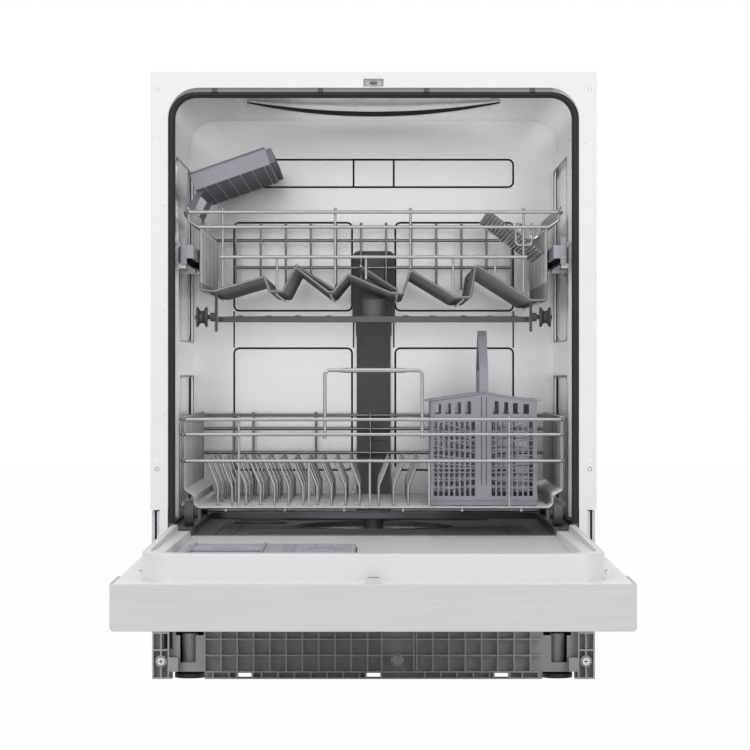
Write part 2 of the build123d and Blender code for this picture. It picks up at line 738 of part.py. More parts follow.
def door_liner():
    """Stainless door liner: raised rim, sunk dish and a track for the wheels each side."""
    z0 = dish_end_z
    corner = rim_r
    outer = along_y(arch(rim_w, z0, rim_top, corner), door_in_y - liner_t, rim_y)
    hollow = along_y(arch(rim_w - 2 * liner_t, z0 - 1, rim_top - liner_t, corner - liner_t),
                     door_in_y - liner_t - 1, rim_y - liner_t)
    shell = (outer - dish(0.0)) - (hollow - dish(liner_t))
    keep = along_x([(door_in_y - 2, z0 - 2), (dish_floor_y, z0 - 2), (dish_floor_y, hinge_z + 24),
                    (rim_y + 1, hinge_z + 64), (rim_y + 1, rim_top + 1), (door_in_y - 2, rim_top + 1)],
                   -half_w, half_w)
    shell = shell & keep
    flange_z0, flange_z1 = hinge_z + 12, fascia_top - fascia_wall - 0.2
    wide = skin_w - 2 * steel - 0.6
    flange = along_y(Pos(0, (flange_z0 + flange_z1) / 2) * Rectangle(wide, flange_z1 - flange_z0),
                     door_in_y - liner_t, door_in_y)
    mouth = along_y(arch(rim_w - 2 * liner_t, flange_z0 - 1, rim_top - liner_t, corner - liner_t),
                    door_in_y - liner_t - 1, door_in_y + 1)
    body = fuse([shell, flange - mouth])
    cut = block(disp_x0 + 6, disp_x0 + disp_w - 6, door_in_y - 2, dish_floor_y + 1, disp_z0 + 6,
                disp_z0 + disp_h - 6)
    nose = block(-nose_half - 0.3, nose_half + 0.3, door_in_y - 2, door_in_y + 1, nose_z0 - 0.3, nose_z1 + 0.3)
    return body - cut - nose


nose_half = 8.9
nose_z0 = 799.8
nose_z1 = 808.2


def dish(wall):
    """The space inside the rim, grown outwards by a wall."""
    deep_half = ledge_inner_w / 2 - 0.5
    wide_half = deep_half + track_w
    top = rim_top - rim_end
    deep = along_y(arch(2 * (deep_half + wall), dish_end_z - 2, top + wall, rim_r - 8 + wall), dish_floor_y - wall,
                   rim_y + 2)
    slope = (rim_top - hinge_z) * sin(radians(open_deg - 90))
    low = hinge_y + ledge_z - 0.4 - hinge_z
    wedge = along_x([(low - wall, dish_end_z - 2), (rim_y + 2, dish_end_z - 2), (rim_y + 2, top + wall),
                     (low + slope - wall, top + wall)], -wide_half - wall, wide_half + wall)
    trim = along_y(arch(2 * (wide_half + wall), dish_end_z - 3, top + wall, rim_r + wall), door_in_y, rim_y + 3)
    return fuse([deep, wedge & trim])


def door_skin():
    """Outer door pan that takes the furniture panel, with four fixing holes."""
    half = skin_w / 2
    pan = block(-half, half, skin_y0, door_in_y - liner_t - 0.2, door_bottom, fascia_z0 - 0.5)
    pan = pan - block(-half + steel, half - steel, skin_y0 + steel, door_in_y, door_bottom + steel,
                      fascia_z0 - 0.5 - steel)
    bottom = block(-half + steel, half - steel, door_in_y - liner_t - 0.2 - steel, door_in_y - liner_t - 0.2,
                   door_bottom + steel, dish_end_z - 6)
    pan = fuse([pan, bottom])
    for side in (-1, 1):
        x0, x1 = sorted((side * (lug_x0 - 3), side * (half + 1)))
        pan = pan - block(x0, x1, hinge_y - 9, 0, hinge_z - 9, hinge_z + 9)
        for z in (panel_hole_low, panel_hole_low + panel_hole_span):
            pan = pan - disc((side * panel_hole_x, skin_y0 - 1, z), (0, 1, 0), 2.1, 3)
    return pan


panel_hole_x = 268.0
panel_hole_low = 230.0
panel_hole_span = 400.0


def fascia_shell():
    """Brushed steel control fascia, open behind, with windows for grip, display and buttons."""
    body = block(-fascia_w / 2, fascia_w / 2, fascia_y0, door_in_y, fascia_z0, fascia_top)
    body = fillet(body.edges().filter_by(Axis.Z).group_by(Axis.Y)[0], 5)
    body = fillet(body.edges().filter_by(Axis.X).group_by(Axis.Y)[0].group_by(Axis.Z)[-1], 2)
    inner = block(-fascia_w / 2 + fascia_wall, fascia_w / 2 - fascia_wall, fascia_y0 + fascia_wall, door_in_y + 1,
                  fascia_z0 + fascia_wall, fascia_top - fascia_wall)
    inner = fillet(inner.edges().filter_by(Axis.Z).group_by(Axis.Y)[0], 4)
    body = body - inner
    body = body - block(-skin_w / 2, skin_w / 2, door_in_y - liner_t - seat_gap, door_in_y + 1, fascia_z0 - 1,
                        fascia_z0 + 2)
    body = body - block(-grip_half, grip_half, fascia_y0 - 1, fascia_y0 + 3, grip_z0, grip_z1)
    body = body - block(display_x0, display_x1, fascia_y0 - 1, fascia_y0 + 3, display_z0, display_z1)
    for _, x in buttons:
        body = body - disc((x, fascia_y0 - 1, button_z), (0, 1, 0), button_r + button_gap, 4)
    return body


grip_half = 110.0
grip_z0 = 702.0
grip_z1 = 744.0
grip_deep = 30.0
display_x0 = 96.0
display_x1 = 176.0
display_z0 = 762.0
display_z1 = 790.0
buttons = [("power_button", -258.0), ("program_button", -196.0), ("delay_button", 214.0), ("start_button", 258.0)]


def grip_pocket():
    """Sunk grip behind the window of the fascia."""
    gap, wall = 0.2, 2.0
    outer = block(-grip_half - wall, grip_half + wall, fascia_y0 + fascia_wall + gap, fascia_y0 + grip_deep + wall,
                  grip_z0 - wall, grip_z1 + wall)
    outer = fillet(outer.edges().filter_by(Axis.Y), 3)
    inner = block(-grip_half, grip_half, fascia_y0, fascia_y0 + grip_deep, grip_z0, grip_z1)
    inner = fillet(inner.edges().filter_by(Axis.X).group_by(Axis.Y)[-1], 10)
    return outer - inner


def display_window():
    """Dark window set flush in the fascia."""
    gap = 0.2
    face = block(display_x0 + gap, display_x1 - gap, fascia_y0 + 0.1, fascia_y0 + fascia_wall + gap, display_z0 + gap,
                 display_z1 - gap)
    back = block(display_x0 - 3, display_x1 + 3, fascia_y0 + fascia_wall + gap, fascia_y0 + 5, display_z0 - 3,
                 display_z1 + 3)
    return fuse([face, back])


def control_board():
    """Circuit board behind the buttons and the window, on its carrier."""
    y = fascia_y0 + 12
    board = block(-280, 280, y, y + 1.6, 754, 800)
    carrier = block(-284, 284, y + 1.6, y + 6, 750, 804) - block(-270, 270, y + 1.5, y + 7, 760, 794)
    parts = [block(x - 12, x + 12, y + 1.6, y + 12, 766, 786) for x in (-150, -60, 10)]
    return fuse([board, carrier, *parts])


def button(x):
    """Round push button with a flange behind the fascia and a stem above the board."""
    cap = disc((x, fascia_y0 - 1.6, button_z), (0, 1, 0), button_r, 4.6)
    flange = disc((x, fascia_y0 + fascia_wall + 0.2, button_z), (0, 1, 0), button_r + 1.5, 1.6)
    stem = disc((x, fascia_y0 + 2, button_z), (0, 1, 0), 2, 12 - 2 - button_travel - 0.3)
    return fuse([cap, flange, stem])


def hinge_arms():
    """Arms inside the door's sides, each with a hole on the hinge pin."""
    x0 = lug_x0 + lug_t + 0.3
    outline = [(-9, 176), (3, 176), (3, 188), (-5, 196), (-5, 430), (-24, 430), (-24, 178)]
    arm = along_x(outline, x0, x0 + 2.5)
    arm = arm - disc((x0 - 1, hinge_y, hinge_z), (1, 0, 0), pin_r + pin_gap, 5)
    return both(arm)


def door_latch():
    """Latch at the middle of the door's top, with the slot that takes the striker."""
    body = block(-30, 30, -24, door_in_y - liner_t - 0.2, nose_z0 - 24, fascia_top - fascia_wall - 0.4)
    nose = block(-nose_half, nose_half, -6, 4.4, nose_z0, nose_z1)
    slot = block(-5.2, 5.2, -16, 6, nose_z0 + 1.4, nose_z1 - 1.4)
    return fuse([body, nose]) - slot


def dispenser_housing():
    """Dispenser body set in the liner: flange, detergent cup and the rinse aid fill."""
    x1, z1 = disp_x0 + disp_w, disp_z0 + disp_h
    y = dish_floor_y
    flange = block(disp_x0, x1, y + 0.1, y + disp_proud, disp_z0, z1)
    flange = fillet(flange.edges().filter_by(Axis.Y), 10)
    back = block(disp_x0 + 6.3, x1 - 6.3, -24, y + 0.1, disp_z0 + 6.3, z1 - 6.3)
    cup = block(cup_x0, cup_x1, -16, y + disp_proud + 1, cup_z0, cup_z1)
    well = disc((rinse_x, y + 1, rinse_z), (0, 1, 0), rinse_r + 0.4, 6)
    rails = [block(cup_x0 - 7, cup_x0 - 4, y + disp_proud, y + disp_proud + 3, disp_z0 + 12, z1 - 12)]
    rails.append(block(cup_x1 + 4, cup_x1 + 7, y + disp_proud, y + disp_proud + 3, disp_z0 + 12, z1 - 12))
    body = fuse([flange, back, *rails])
    return body - cup - well


cup_x0 = -218.0
cup_x1 = -142.0
cup_z0 = 470.0
cup_z1 = 530.0
lid_travel = 58.0
rinse_x = -62.0
rinse_z = 500.0
rinse_r = 21.0


def dispenser_lid():
    """Sliding lid over the detergent cup."""
    y = dish_floor_y + disp_proud + 0.3
    lid = block(cup_x0 - 3.6, cup_x1 + 3.6, y, y + 2.2, cup_z0 - 4, cup_z1 + 4)
    grip = block((cup_x0 + cup_x1) / 2 - 16, (cup_x0 + cup_x1) / 2 + 16, y + 2.2, y + 4.2, cup_z1 - 8, cup_z1 - 4)
    return fuse([lid, grip])


def rinse_cap():
    """Quarter-turn cap of the rinse aid fill."""
    y = dish_floor_y + 1.4
    cap = disc((rinse_x, y, rinse_z), (0, 1, 0), rinse_r, 4)
    grip = block(rinse_x - 15, rinse_x + 15, y + 4, y + 7, rinse_z - 2.5, rinse_z + 2.5)
    return fuse([cap, grip])


# Upper basket

up_wire_y = up_front + rail_wire_r + wire_r - weld
up_last_y = up_wire_y + floor_pitch * (floor_count - 1)
up_rear_y = up_last_y + rail_wire_r + wire_r - weld
up_flare_half = up_top_half - rail_wire_r - wire_r + weld
up_floor = [(-up_half, 527), (-216, 525), (-148.6, 545), (-140.8, 525), (-122.7, 525), (-105.8, 558), (-61.3, 524),
            (-54.8, 524), (-34.8, 548), (22.9, 523), (39.7, 522), (50.1, 554), (111.3, 517), (131.5, 517),
            (138.5, 561), (213.7, 513), (up_half, 513)]
floor_leg_top = 537.0


def floor_height(x):
    """Height of the folded floor wires at a place across the upper basket."""
    for (xa, za), (xb, zb) in zip(up_floor, up_floor[1:]):
        if xa <= x <= xb and xb > xa:
            return za + (zb - za) * (x - xa) / (xb - xa)
    return up_floor[0][1]


def upright_foot(x):
    """Where an upright may start above the folded floor wires."""
    return max(floor_height(x + d) for d in (-4, 0, 4)) + 2.4


def rail_loop(half, y0, y1, z, r, bend):
    """A rim wire as four bars: front and rear with rounded corners, and two straight sides."""
    back = bend + 0.5
    front = bent([(-half, y0 + back, z), (-half, y0, z), (half, y0, z), (half, y0 + back, z)], r, bend)
    rear = bent([(-half, y1 - back, z), (-half, y1, z), (half, y1, z), (half, y1 - back, z)], r, bend)
    return [front, rear, *both(rod((half, y0 + back, z), (half, y1 - back, z), r))]


def upper_rim():
    """Rim wires of the upper basket."""
    shapes = rail_loop(up_top_half, up_front, up_rear_y, up_top_z, rail_wire_r, 7)
    for z, half in ((up_mid_z, up_half + 3), (up_low_z, 208.0)):
        shapes.append(rod((-half, up_front, z), (half, up_front, z), rail_wire_r))
        shapes.append(rod((-half, up_rear_y, z), (half, up_rear_y, z), rail_wire_r))
    return shapes


def upper_uprights():
    """Front and rear upright wires of the upper basket, and the small loop beside the rack."""
    shapes = []
    for x in (-204.5, -52.0, 50.1, 203.3):
        shapes.append(rod((x, up_wire_y, upright_foot(x)), (x, up_wire_y, up_top_z + 4), wire_r))
    for x in (-130.8, -10.2, 107.7, 164.6):
        shapes.append(rod((x, up_wire_y, upright_foot(x)), (x, up_wire_y, up_low_z + 3), wire_r))
    for i in range(12):
        x = -205.2 + 37.3 * i
        shapes.append(rod((x, up_last_y, upright_foot(x)), (x, up_last_y, up_top_z + 4), wire_r))
    loop_y = up_wire_y + wire_r + 1.5 - weld
    shapes.append(bent([(193, loop_y, 618), (193, loop_y, 588), (214.5, loop_y, 588), (214.5, loop_y, 618)], 1.5, 5))
    return shapes


def upper_floor():
    """Folded floor wires across the basket, on six straight wires along it."""
    shapes = []
    path = [(-up_half, floor_leg_top), *up_floor, (up_half, floor_leg_top)]
    for i in range(floor_count):
        y = up_wire_y + floor_pitch * i
        shapes.append(bent([(x, y, z) for x, z in path], wire_r, 3))
    for x in (-225.0, -131.7, -58.0, 31.3, 121.4, 223.5):
        z = floor_height(x) - 2 * wire_r + weld
        shapes.append(rod((x, up_wire_y - 3, z), (x, up_last_y + 3, z), wire_r))
    return shapes


def upper_sides():
    """Side wires of the upper basket, flared outwards to the top rail."""
    shapes = []
    for i in range(floor_count):
        y = up_wire_y + floor_pitch * i
        points = [(up_half, y, floor_leg_top), (up_half, y, 610), (up_flare_half, y, 621),
                  (up_flare_half, y, up_top_z + 6)]
        shapes += both(bent(points, wire_r, 4))
    return shapes


house_x = 236.1
house_t = 4.0
lever_y = 200.0
lever_z = 578.0


def side_housings():
    """Plastic carriers on the basket's sides, with roller axles and the levers' pins."""
    x1 = house_x + house_t
    plate = block(house_x, x1, 150, up_last_y, 540, 606)
    plate = fillet(plate.edges().filter_by(Axis.X), 8)
    rib = block(x1, x1 + 6, 214, up_last_y - 6, 556, 560)
    shapes = [plate, rib]
    for y in (roller_y_front, roller_y_rear):
        shapes.append(disc((x1 - 0.1, y, runner_z), (1, 0, 0), 8, 6))
    for y in (roller_y_front, roller_y_rear):
        shapes.append(disc((x1, y, runner_z), (1, 0, 0), 3, runner_x1 - runner_t - 0.8 - x1))
    shapes.append(disc((x1, lever_y, lever_z), (1, 0, 0), 2.5, 10.5))
    return both(fuse(shapes))


def rollers(y):
    """A pair of rollers that run in the channels."""
    x0 = runner_x1 - runner_t - 0.6 - roller_w
    roller = disc((x0, y, runner_z), (1, 0, 0), roller_r, roller_w)
    roller = roller - disc((x0 - 1, y, runner_z), (1, 0, 0), 3.05, roller_w + 2)
    return both(roller)


def height_levers():
    """Levers of the height adjuster: a rounded paddle in front and an arm to its pivot."""
    x0, x1 = house_x + house_t + 4, 261.8
    paddle = block(253.6, x1, up_front, up_front + 12, 560, 599)
    paddle = fillet(paddle.edges().filter_by(Axis.Y), 3.5)
    bridge = block(x0, 254, up_front + 4, up_front + 12, 570, 588)
    arm = block(x0, x0 + 5, up_front + 4, lever_y, 571, 586)
    eye = disc((x0, lever_y, lever_z), (1, 0, 0), 7.5, 5)
    lever = fuse([paddle, bridge, arm, eye]) - disc((x0 - 1, lever_y, lever_z), (1, 0, 0), 2.55, 8)
    return both(lever)


spare_z = 491.0
spare_r = 13.8
spare_y = up_wire_y + floor_pitch


def spare_brackets():
    """Brackets under the basket that hold the second set of rollers."""
    shapes = []
    for side in (-1, 1):
        top = floor_height(side * 215) - wire_r - 0.25
        bar = block(side * 213, side * 217, spare_y - 2, spare_y + 2, spare_z - 20, top)
        hub = disc((side * 217, spare_y, spare_z), (side, 0, 0), 6, 6)
        axle = disc((side * 223, spare_y, spare_z), (side, 0, 0), 3, 21)
        shapes.append(fuse([bar, hub, axle]))
    return shapes


def spare_rollers():
    """Waisted rollers of the second set."""
    outline = [(3.05, 0), (spare_r, 0), (spare_r, 2.4), (9, 5), (8.2, 7.5), (9, 10), (spare_r, 12.6), (spare_r, 15),
               (3.05, 15)]
    face = Plane.XZ * Polygon(*outline, align=None)
    roller = revolve(face, Axis.Z)
    return both(Plane(origin=(227, spare_y, spare_z), z_dir=(1, 0, 0)) * roller)


def spray_arm(z, half, hub_r):
    """Spray arm: a tapered bar with rounded ends, a hub and raised nozzles."""
    taper = Polygon((-half + 8, -11), (0, -hub_r), (half - 8, -11), (half - 8, 11), (0, hub_r), (-half + 8, 11),
                    align=None)
    ends = [Pos(s * (half - 11), 0) * Circle(11) for s in (-1, 1)]
    outline = fuse([taper, *ends])
    body = extrude(Pos(0, 0, z) * outline, arm_h - 1)
    nozzles = []
    for i, x in enumerate((-190.0, -150.0, -108.0, -64.0, 46.0, 84.0, 128.0, 166.0, 200.0)):
        nozzles.append(disc((x, 4 if i % 2 else -4, z + arm_h - 1), (0, 0, 1), 4, 1.6))
    return fuse([body, disc((0, 0, z), (0, 0, 1), hub_r, arm_h), *nozzles])


def upper_arm():
    """Upper spray arm with the stub that turns in the feed collar."""
    arm = spray_arm(arm_up_z, arm_up_half, 20)
    stub = disc((0, 0, arm_up_z + arm_h), (0, 0, 1), 9, 10)
    return Pos(0, hub_y, 0) * fuse([arm, stub])


def lower_arm():
    """Lower spray arm with its bore on the sump's pin."""
    arm = spray_arm(arm_low_z, arm_low_half, 24)
    return Pos(0, hub_y, 0) * (arm - disc((0, 0, arm_low_z - 1), (0, 0, 1), 5.05, 9.4))


def feed_tube():
    """Feed of the upper spray arm: collar, tube, riser and the nozzle that meets the dock."""
    z = arm_up_z + arm_h + 0.6
    collar = disc((0, hub_y, z), (0, 0, 1), 15.9, 23)
    bore = disc((0, hub_y, z - 1), (0, 0, 1), 9.05, 12)
    tube_z = z + 11.5
    tube = disc((0, hub_y + 12, tube_z), (0, 1, 0), 8.5, up_rear_y + 6 - hub_y - 12)
    y0 = up_rear_y + rail_wire_r + 0.3
    dock_y = tub_back - 23 - 2.5
    riser = block(-15, 15, y0, y0 + 22, z + 1, dock_z + 20)
    riser = fillet(riser.edges().filter_by(Axis.Y), 6)
    nozzle = disc((0, y0 + 20, dock_z), (0, 1, 0), 10, dock_y - 0.3 - y0 - 20)
    return fuse([collar, tube, riser, nozzle]) - bore


shelf_tilt = 19.2
shelf_w = 108.0
shelf_len = 368.0
shelf_wall = 25.0
shelf_x = -242.0
shelf_z = 662.0


def cup_shelf():
    """Tilting cup shelf: a slatted tray with legs that turn on the left top rail."""
    y0 = up_front + 4
    t = 2.0
    tray = block(0, shelf_w, y0, y0 + shelf_len, 0, shelf_wall)
    tray = tray - block(t, shelf_w - t, y0 + t, y0 + shelf_len - t, t, shelf_wall + 1)
    cuts = []
    for i in range(12):
        for j in range(3):
            y = y0 + 6 + 30.0 * i
            x = 8 + 32.0 * j
            cuts.append(block(x, x + 28, y, y + 25, -1, t + 1))
    tray = tray - cuts
    tray = Pos(shelf_x, 0, shelf_z) * Rot(0, -shelf_tilt, 0) * tray
    legs = []
    for i in (1.5, 8.5):
        y = up_wire_y + floor_pitch * i
        leg = Polygon((-up_top_half - 5, up_top_z), (-up_top_half + 5, up_top_z - 2), (shelf_x + 8, shelf_z + 3),
                      (shelf_x, shelf_z + 2), align=None)
        eye = Pos(-up_top_half, up_top_z) * Circle(5.5)
        legs.append(along_y(fuse([leg, eye]), y - 5, y + 5))
    body = fuse([tray, *legs])
    return body - disc((-up_top_half, y0 - 9, up_top_z), (0, 1, 0), rail_wire_r + 0.08, shelf_len)


rack_x = up_half - wire_r - 0.3 - 1.6
rack_z = 580.0
rack_len = 92.0
rack_turn = 143.0


def wire_rack():
    """Folding rack of close wires, leaning on the basket's right side."""
    dx, dz = cos(radians(rack_turn)), sin(radians(rack_turn))
    y0, y1 = up_wire_y + 22, up_last_y - 40
    shapes = []
    for part in (0.0, 0.5, 1.0):
        x, z = rack_x + rack_len * part * dx, rack_z + rack_len * part * dz
        shapes.append(rod((x, y0, z), (x, y1, z), 1.6))
    count = 16
    for i in range(count):
        y = y0 + 3 + (y1 - y0 - 6) * i / (count - 1)
        shapes.append(rod((rack_x, y, rack_z), (rack_x + rack_len * dx, y, rack_z + rack_len * dz), 1.2))
    return fuse(shapes)


tine_rows = {"left": (-57.0, 530.5), "right": (31.0, 529.5)}
tine_turn = 147.0
tine_len = 58.0


def upper_tines(side):
    """Fold-down row of tines on its own long axle."""
    x, z = tine_rows[side]
    dx, dz = cos(radians(tine_turn)), sin(radians(tine_turn))
    shapes = [rod((x, up_wire_y + 8, z), (x, up_last_y - 8, z), 2.0)]
    for i in range(9):
        y = up_wire_y + floor_pitch * (i + 1.5)
        shapes.append(rod((x, y, z), (x + tine_len * dx, y, z + tine_len * dz), 1.7))
    return fuse(shapes)


# Lower basket

low_wire_y = low_front + rail_wire_r + wire_r - weld
low_count = 13
low_last_y = low_wire_y + floor_pitch * (low_count - 1)
low_rear_y = low_last_y + rail_wire_r + wire_r - weld
low_outer = low_half + wire_r + rail_wire_r - weld
floor_end = 222.0


def lower_rim():
    """Three rim wires of the lower basket."""
    shapes = []
    for z in (low_top_z, low_mid_z, low_low_z):
        shapes += rail_loop(low_outer, low_front, low_rear_y, z, rail_wire_r, 7)
    return shapes


def lower_uprights():
    """Front and rear upright wires of the lower basket."""
    foot = low_floor_z + wire_r - weld
    shapes = []
    for x, z in ((-182.6, low_top_z), (-87.7, low_low_z), (-5.0, low_low_z), (75.3, low_low_z), (184.1, low_top_z)):
        shapes.append(rod((x, low_wire_y, foot), (x, low_wire_y, z + 3), wire_r))
    for x in (-210.0, -180.5, -86.5, -4.8, 86.5, 180.5, 210.0):
        shapes.append(rod((x, low_last_y, foot), (x, low_last_y, low_top_z + 3), wire_r))
    return shapes


def lower_floor():
    """Floor wires of the lower basket."""
    shapes = []
    for i in range(low_count):
        y = low_wire_y + floor_pitch * i
        shapes.append(rod((-floor_end, y, low_floor_z), (floor_end, y, low_floor_z), wire_r))
    z = low_floor_z - 2 * wire_r + weld
    for i in range(6):
        x = -200.0 + 80.0 * i
        shapes.append(rod((x, low_wire_y - 3, z), (x, low_last_y + 3, z), wire_r))
    return shapes


def lower_sides():
    """Stepped side wires of the lower basket."""
    shapes = []
    for i in range(low_count):
        y = low_wire_y + floor_pitch * i
        outline = [(low_half, low_top_z + 3), (low_half, 256), (243, 248), (243, 237), (238, low_floor_z),
                   (floor_end, low_floor_z)]
        shapes += both(bent([(x, y, z) for x, z in outline], wire_r, 3))
    return shapes


def plate_tines():
    """Plate tines in four rows, bent to the left on the left side and to the right on the right side."""
    foot = low_floor_z + wire_r - weld
    shapes = []
    for row in (1, 4, 7, 10):
        y = low_wire_y + floor_pitch * row
        spots = [(-213.0 + 19.4 * i, -14.0) for i in range(11)]
        spots += [(7.0 + 20.3 * i, 14.0) for i in range(3)]
        for x, lean in spots:
            shapes.append(bent([(x, y, foot), (x, y, 259), (x + lean, y, 294)], 1.7, 8))
    return shapes


def lower_handle():
    """Loop handle of the lower basket, behind the front rails."""
    y = low_front + 2 * rail_wire_r - weld
    return bent([(-66, y, 325), (-66, y, 418), (66, y, 418), (66, y, 325)], rail_wire_r, 7)


wheel_x = 246.2
wheel_z = ledge_z + wheel_gap + wheel_r


def wheel_carriers():
    """Carriers under the basket's floor, with the wheels' axles."""
    shapes = []
    for y in (wheel_y_front, wheel_y_rear):
        plate = block(236.4, 240, y - 14, y + 14, 213, low_floor_z - wire_r - 0.2)
        boss = disc((236.4, y, wheel_z), (1, 0, 0), 7, 9)
        axle = disc((240, y, wheel_z), (1, 0, 0), 3.5, 18.6)
        shapes += both(fuse([plate, boss, axle]))
    return shapes


def wheels(y):
    """A pair of wheels on one axle line."""
    wheel = disc((wheel_x, y, wheel_z), (1, 0, 0), wheel_r, wheel_w)
    rim = disc((wheel_x + wheel_w - 3, y, wheel_z), (1, 0, 0), wheel_r - 3, 4)
    core = disc((wheel_x + wheel_w - 4, y, wheel_z), (1, 0, 0), 7, 4)
    wheel = fuse([wheel - rim, core]) - disc((wheel_x - 1, y, wheel_z), (1, 0, 0), 3.55, wheel_w + 2)
    return both(wheel)


cut_z0 = low_floor_z + wire_r + 0.3
cut_mid = cut_x0 + cut_w / 2
cut_post = 17.0
cut_side_z = 376.0
lid_hinge_x = 7.4
lid_bar_r = 1.1


def cutlery_basket():
    """Cutlery basket: peaked box with slotted walls, a middle wall and a window band."""
    x0, x1 = cut_x0, cut_x0 + cut_w
    y0, y1 = cut_front, cut_front + cut_depth
    w = cut_wall
    outline = Polygon((x0, cut_z0), (x1, cut_z0), (x1, cut_side_z), (cut_mid, cut_peak_z - 3), (x0, cut_side_z),
                      align=None)
    body = along_y(outline, y0, y1)
    for a, b in ((x0 + w, cut_mid - w / 2), (cut_mid + w / 2, x1 - w)):
        body = body - block(a, b, y0 + w, y1 - w, cut_z0 + w, cut_peak_z + 10)
    body = fuse([body, block(cut_mid - cut_post / 2, cut_mid + cut_post / 2, y0, y0 + 4, cut_z0, cut_peak_z - 5)])
    cuts = []
    pitch = 7.3
    for a in (x0 + 4, cut_mid + cut_post / 2 + 2):
        for i in range(8):
            x = a + pitch * i
            cuts.append(block(x, x + pitch - 2.2, y0 - 1, y1 + 1, 247, 347.7))
        for i in range(4):
            x = a + 2 + 13.6 * i
            top = 372 + (1.3 * i if a < cut_mid else 1.3 * (3 - i))
            cuts.append(block(x, x + 8, y0 - 1, y1 + 1, 358.6, top))
    for i in range(18):
        y = y0 + 7 + 7.8 * i
        cuts.append(block(x0 - 1, x0 + w + 1, y, y + 5.6, 247, 347.7))
        cuts.append(block(x1 - w - 1, x1 + 1, y, y + 5.6, 247, 347.7))
    for i in range(4):
        for j in range(6):
            x = x0 + 10 + 34.0 * i
            y = y0 + 10 + 23.0 * j
            cuts.append(block(x, x + 22, y, y + 15, cut_z0 - 1, cut_z0 + w + 1))
    body = body - cuts
    bars = []
    for i in range(7):
        z = 259 + 12.7 * i
        for ya, yb in ((y0 + 0.5, y0 + 1.7), (y1 - 1.7, y1 - 0.5)):
            bars.append(block(x0 + 1, x1 - 1, ya, yb, z - 0.8, z + 0.8))
        for xa, xb in ((x0 + 0.5, x0 + 1.7), (x1 - 1.7, x1 - 0.5)):
            bars.append(block(xa, xb, y0 + 1, y1 - 1, z - 0.8, z + 0.8))
    return fuse([body, *bars])


def cutlery_lid(side):
    """Slotted flap over one half of the cutlery basket."""
    inner, outer = lid_hinge_x, cut_w / 2 + 6
    rise = (cut_peak_z - 3 - cut_side_z) / (cut_w / 2)
    top = [(inner, cut_peak_z - 2.6 - rise * inner), (outer, cut_peak_z - 2.6 - rise * outer)]
    (xa, za), (xb, zb) = top
    outline = Polygon((xa, za), (xb, zb), (xb, zb + 2), (xa, za + 2), align=None)
    y0, y1 = cut_front - 1, cut_front + cut_depth + 1
    lid = fuse([along_y(outline, y0, y1), disc((inner, y0, za + 1), (0, 1, 0), lid_bar_r, y1 - y0)])
    slots = []
    for i in range(4):
        for j in range(6):
            x = inner + 8 + 15.5 * i
            y = y0 + 10 + 23.0 * j
            slots.append(block(x, x + 9, y, y + 17, cut_side_z - 6, cut_peak_z + 4))
    lid = lid - slots
    lid = lid if side > 0 else mirror(lid, about=Plane.YZ)
    return Pos(cut_mid, 0, 0) * lid


def cutlery_handle():
    """Strap handle over the cutlery basket."""
    half, t = cut_post / 2 - 2.6, 3.0
    y0, y1 = cut_front + 4.4, cut_front + cut_depth - cut_wall
    mid = (y0 + y1) / 2
    low = 352.0
    path = [(y0, low), (y0, 420), (mid - 22, 466), (mid - 8, 473), (mid + 8, 473), (mid + 22, 466), (y1, 420),
            (y1, low)]
    inner = [(y0 + t, low), (y0 + t, 418), (mid - 21, 462.6), (mid - 7.5, 470), (mid + 7.5, 470), (mid + 21, 462.6),
             (y1 - t, 418), (y1 - t, low)]
    strap = along_x([*path, *reversed(inner)], cut_mid - half, cut_mid + half)
    return strap - block(cut_mid - cut_wall / 2 - 0.1, cut_mid + cut_wall / 2 + 0.1, y0 - 1, y1 + 1, 300, cut_peak_z)


# Every node, in the part's own frame

cabinet = {
    "tub_shell": [tub_shell, rail_guides], "front_frame": [front_frame],
    "frame_fittings": [latch_striker, seal_strip], "door_seal": [door_seal],
    "tub_floor": [tub_floor, corner_blocks], "sump": [sump], "filter_plate": [filter_plate],
    "filter_cup": [filter_cup], "salt_cap": [salt_cap], "softener_unit": [softener_tank, air_break],
    "water_duct": [water_duct, duct_dock], "runners": [runners], "insulation": [insulation],
    "side_panels": [side_panels], "rear_panel": [rear_panel, rear_brace], "pumps": [wash_pump, drain_pump],
    "inlet_valve": [inlet_valve], "door_springs": [door_springs], "hinge_brackets": [hinge_brackets],
    "base_tray": [base_tray, base_face], "base_hardware": [adjuster_shaft, base_screws],
    "lower_spray_arm": [lower_arm], "front_feet": [front_feet], "rear_foot": [rear_foot],
}
baskets = {
    "upper_frame": [upper_rim, upper_uprights, upper_sides], "upper_floor": [upper_floor],
    "side_housings": [side_housings, spare_brackets], "spare_rollers": [spare_rollers],
    "upper_spray_arm": [upper_arm], "feed_tube": [feed_tube], "cup_shelf": [cup_shelf],
    "wire_rack": [wire_rack], "height_levers": [height_levers],
    "lower_frame": [lower_rim, lower_uprights, lower_sides, lower_floor, lower_handle],
    "plate_tines": [plate_tines], "wheel_carriers": [wheel_carriers],
    "cutlery_basket": [cutlery_basket, cutlery_handle],
}
door = {
    "door_liner": [door_liner], "door_skin": [door_skin], "fascia_shell": [fascia_shell],
    "grip_pocket": [grip_pocket], "display_window": [display_window], "control_board": [control_board],
    "hinge_arms": [hinge_arms], "door_latch": [door_latch], "dispenser_housing": [dispenser_housing],
    "dispenser_lid": [dispenser_lid], "rinse_cap": [rinse_cap],
}


def solids_of(makers):
    """All solids that a list of makers gives."""
    solids = []
    for make in makers:
        shapes = make()
        for shape in shapes if isinstance(shapes, list) else [shapes]:
            solids += shape.solids()
    return solids


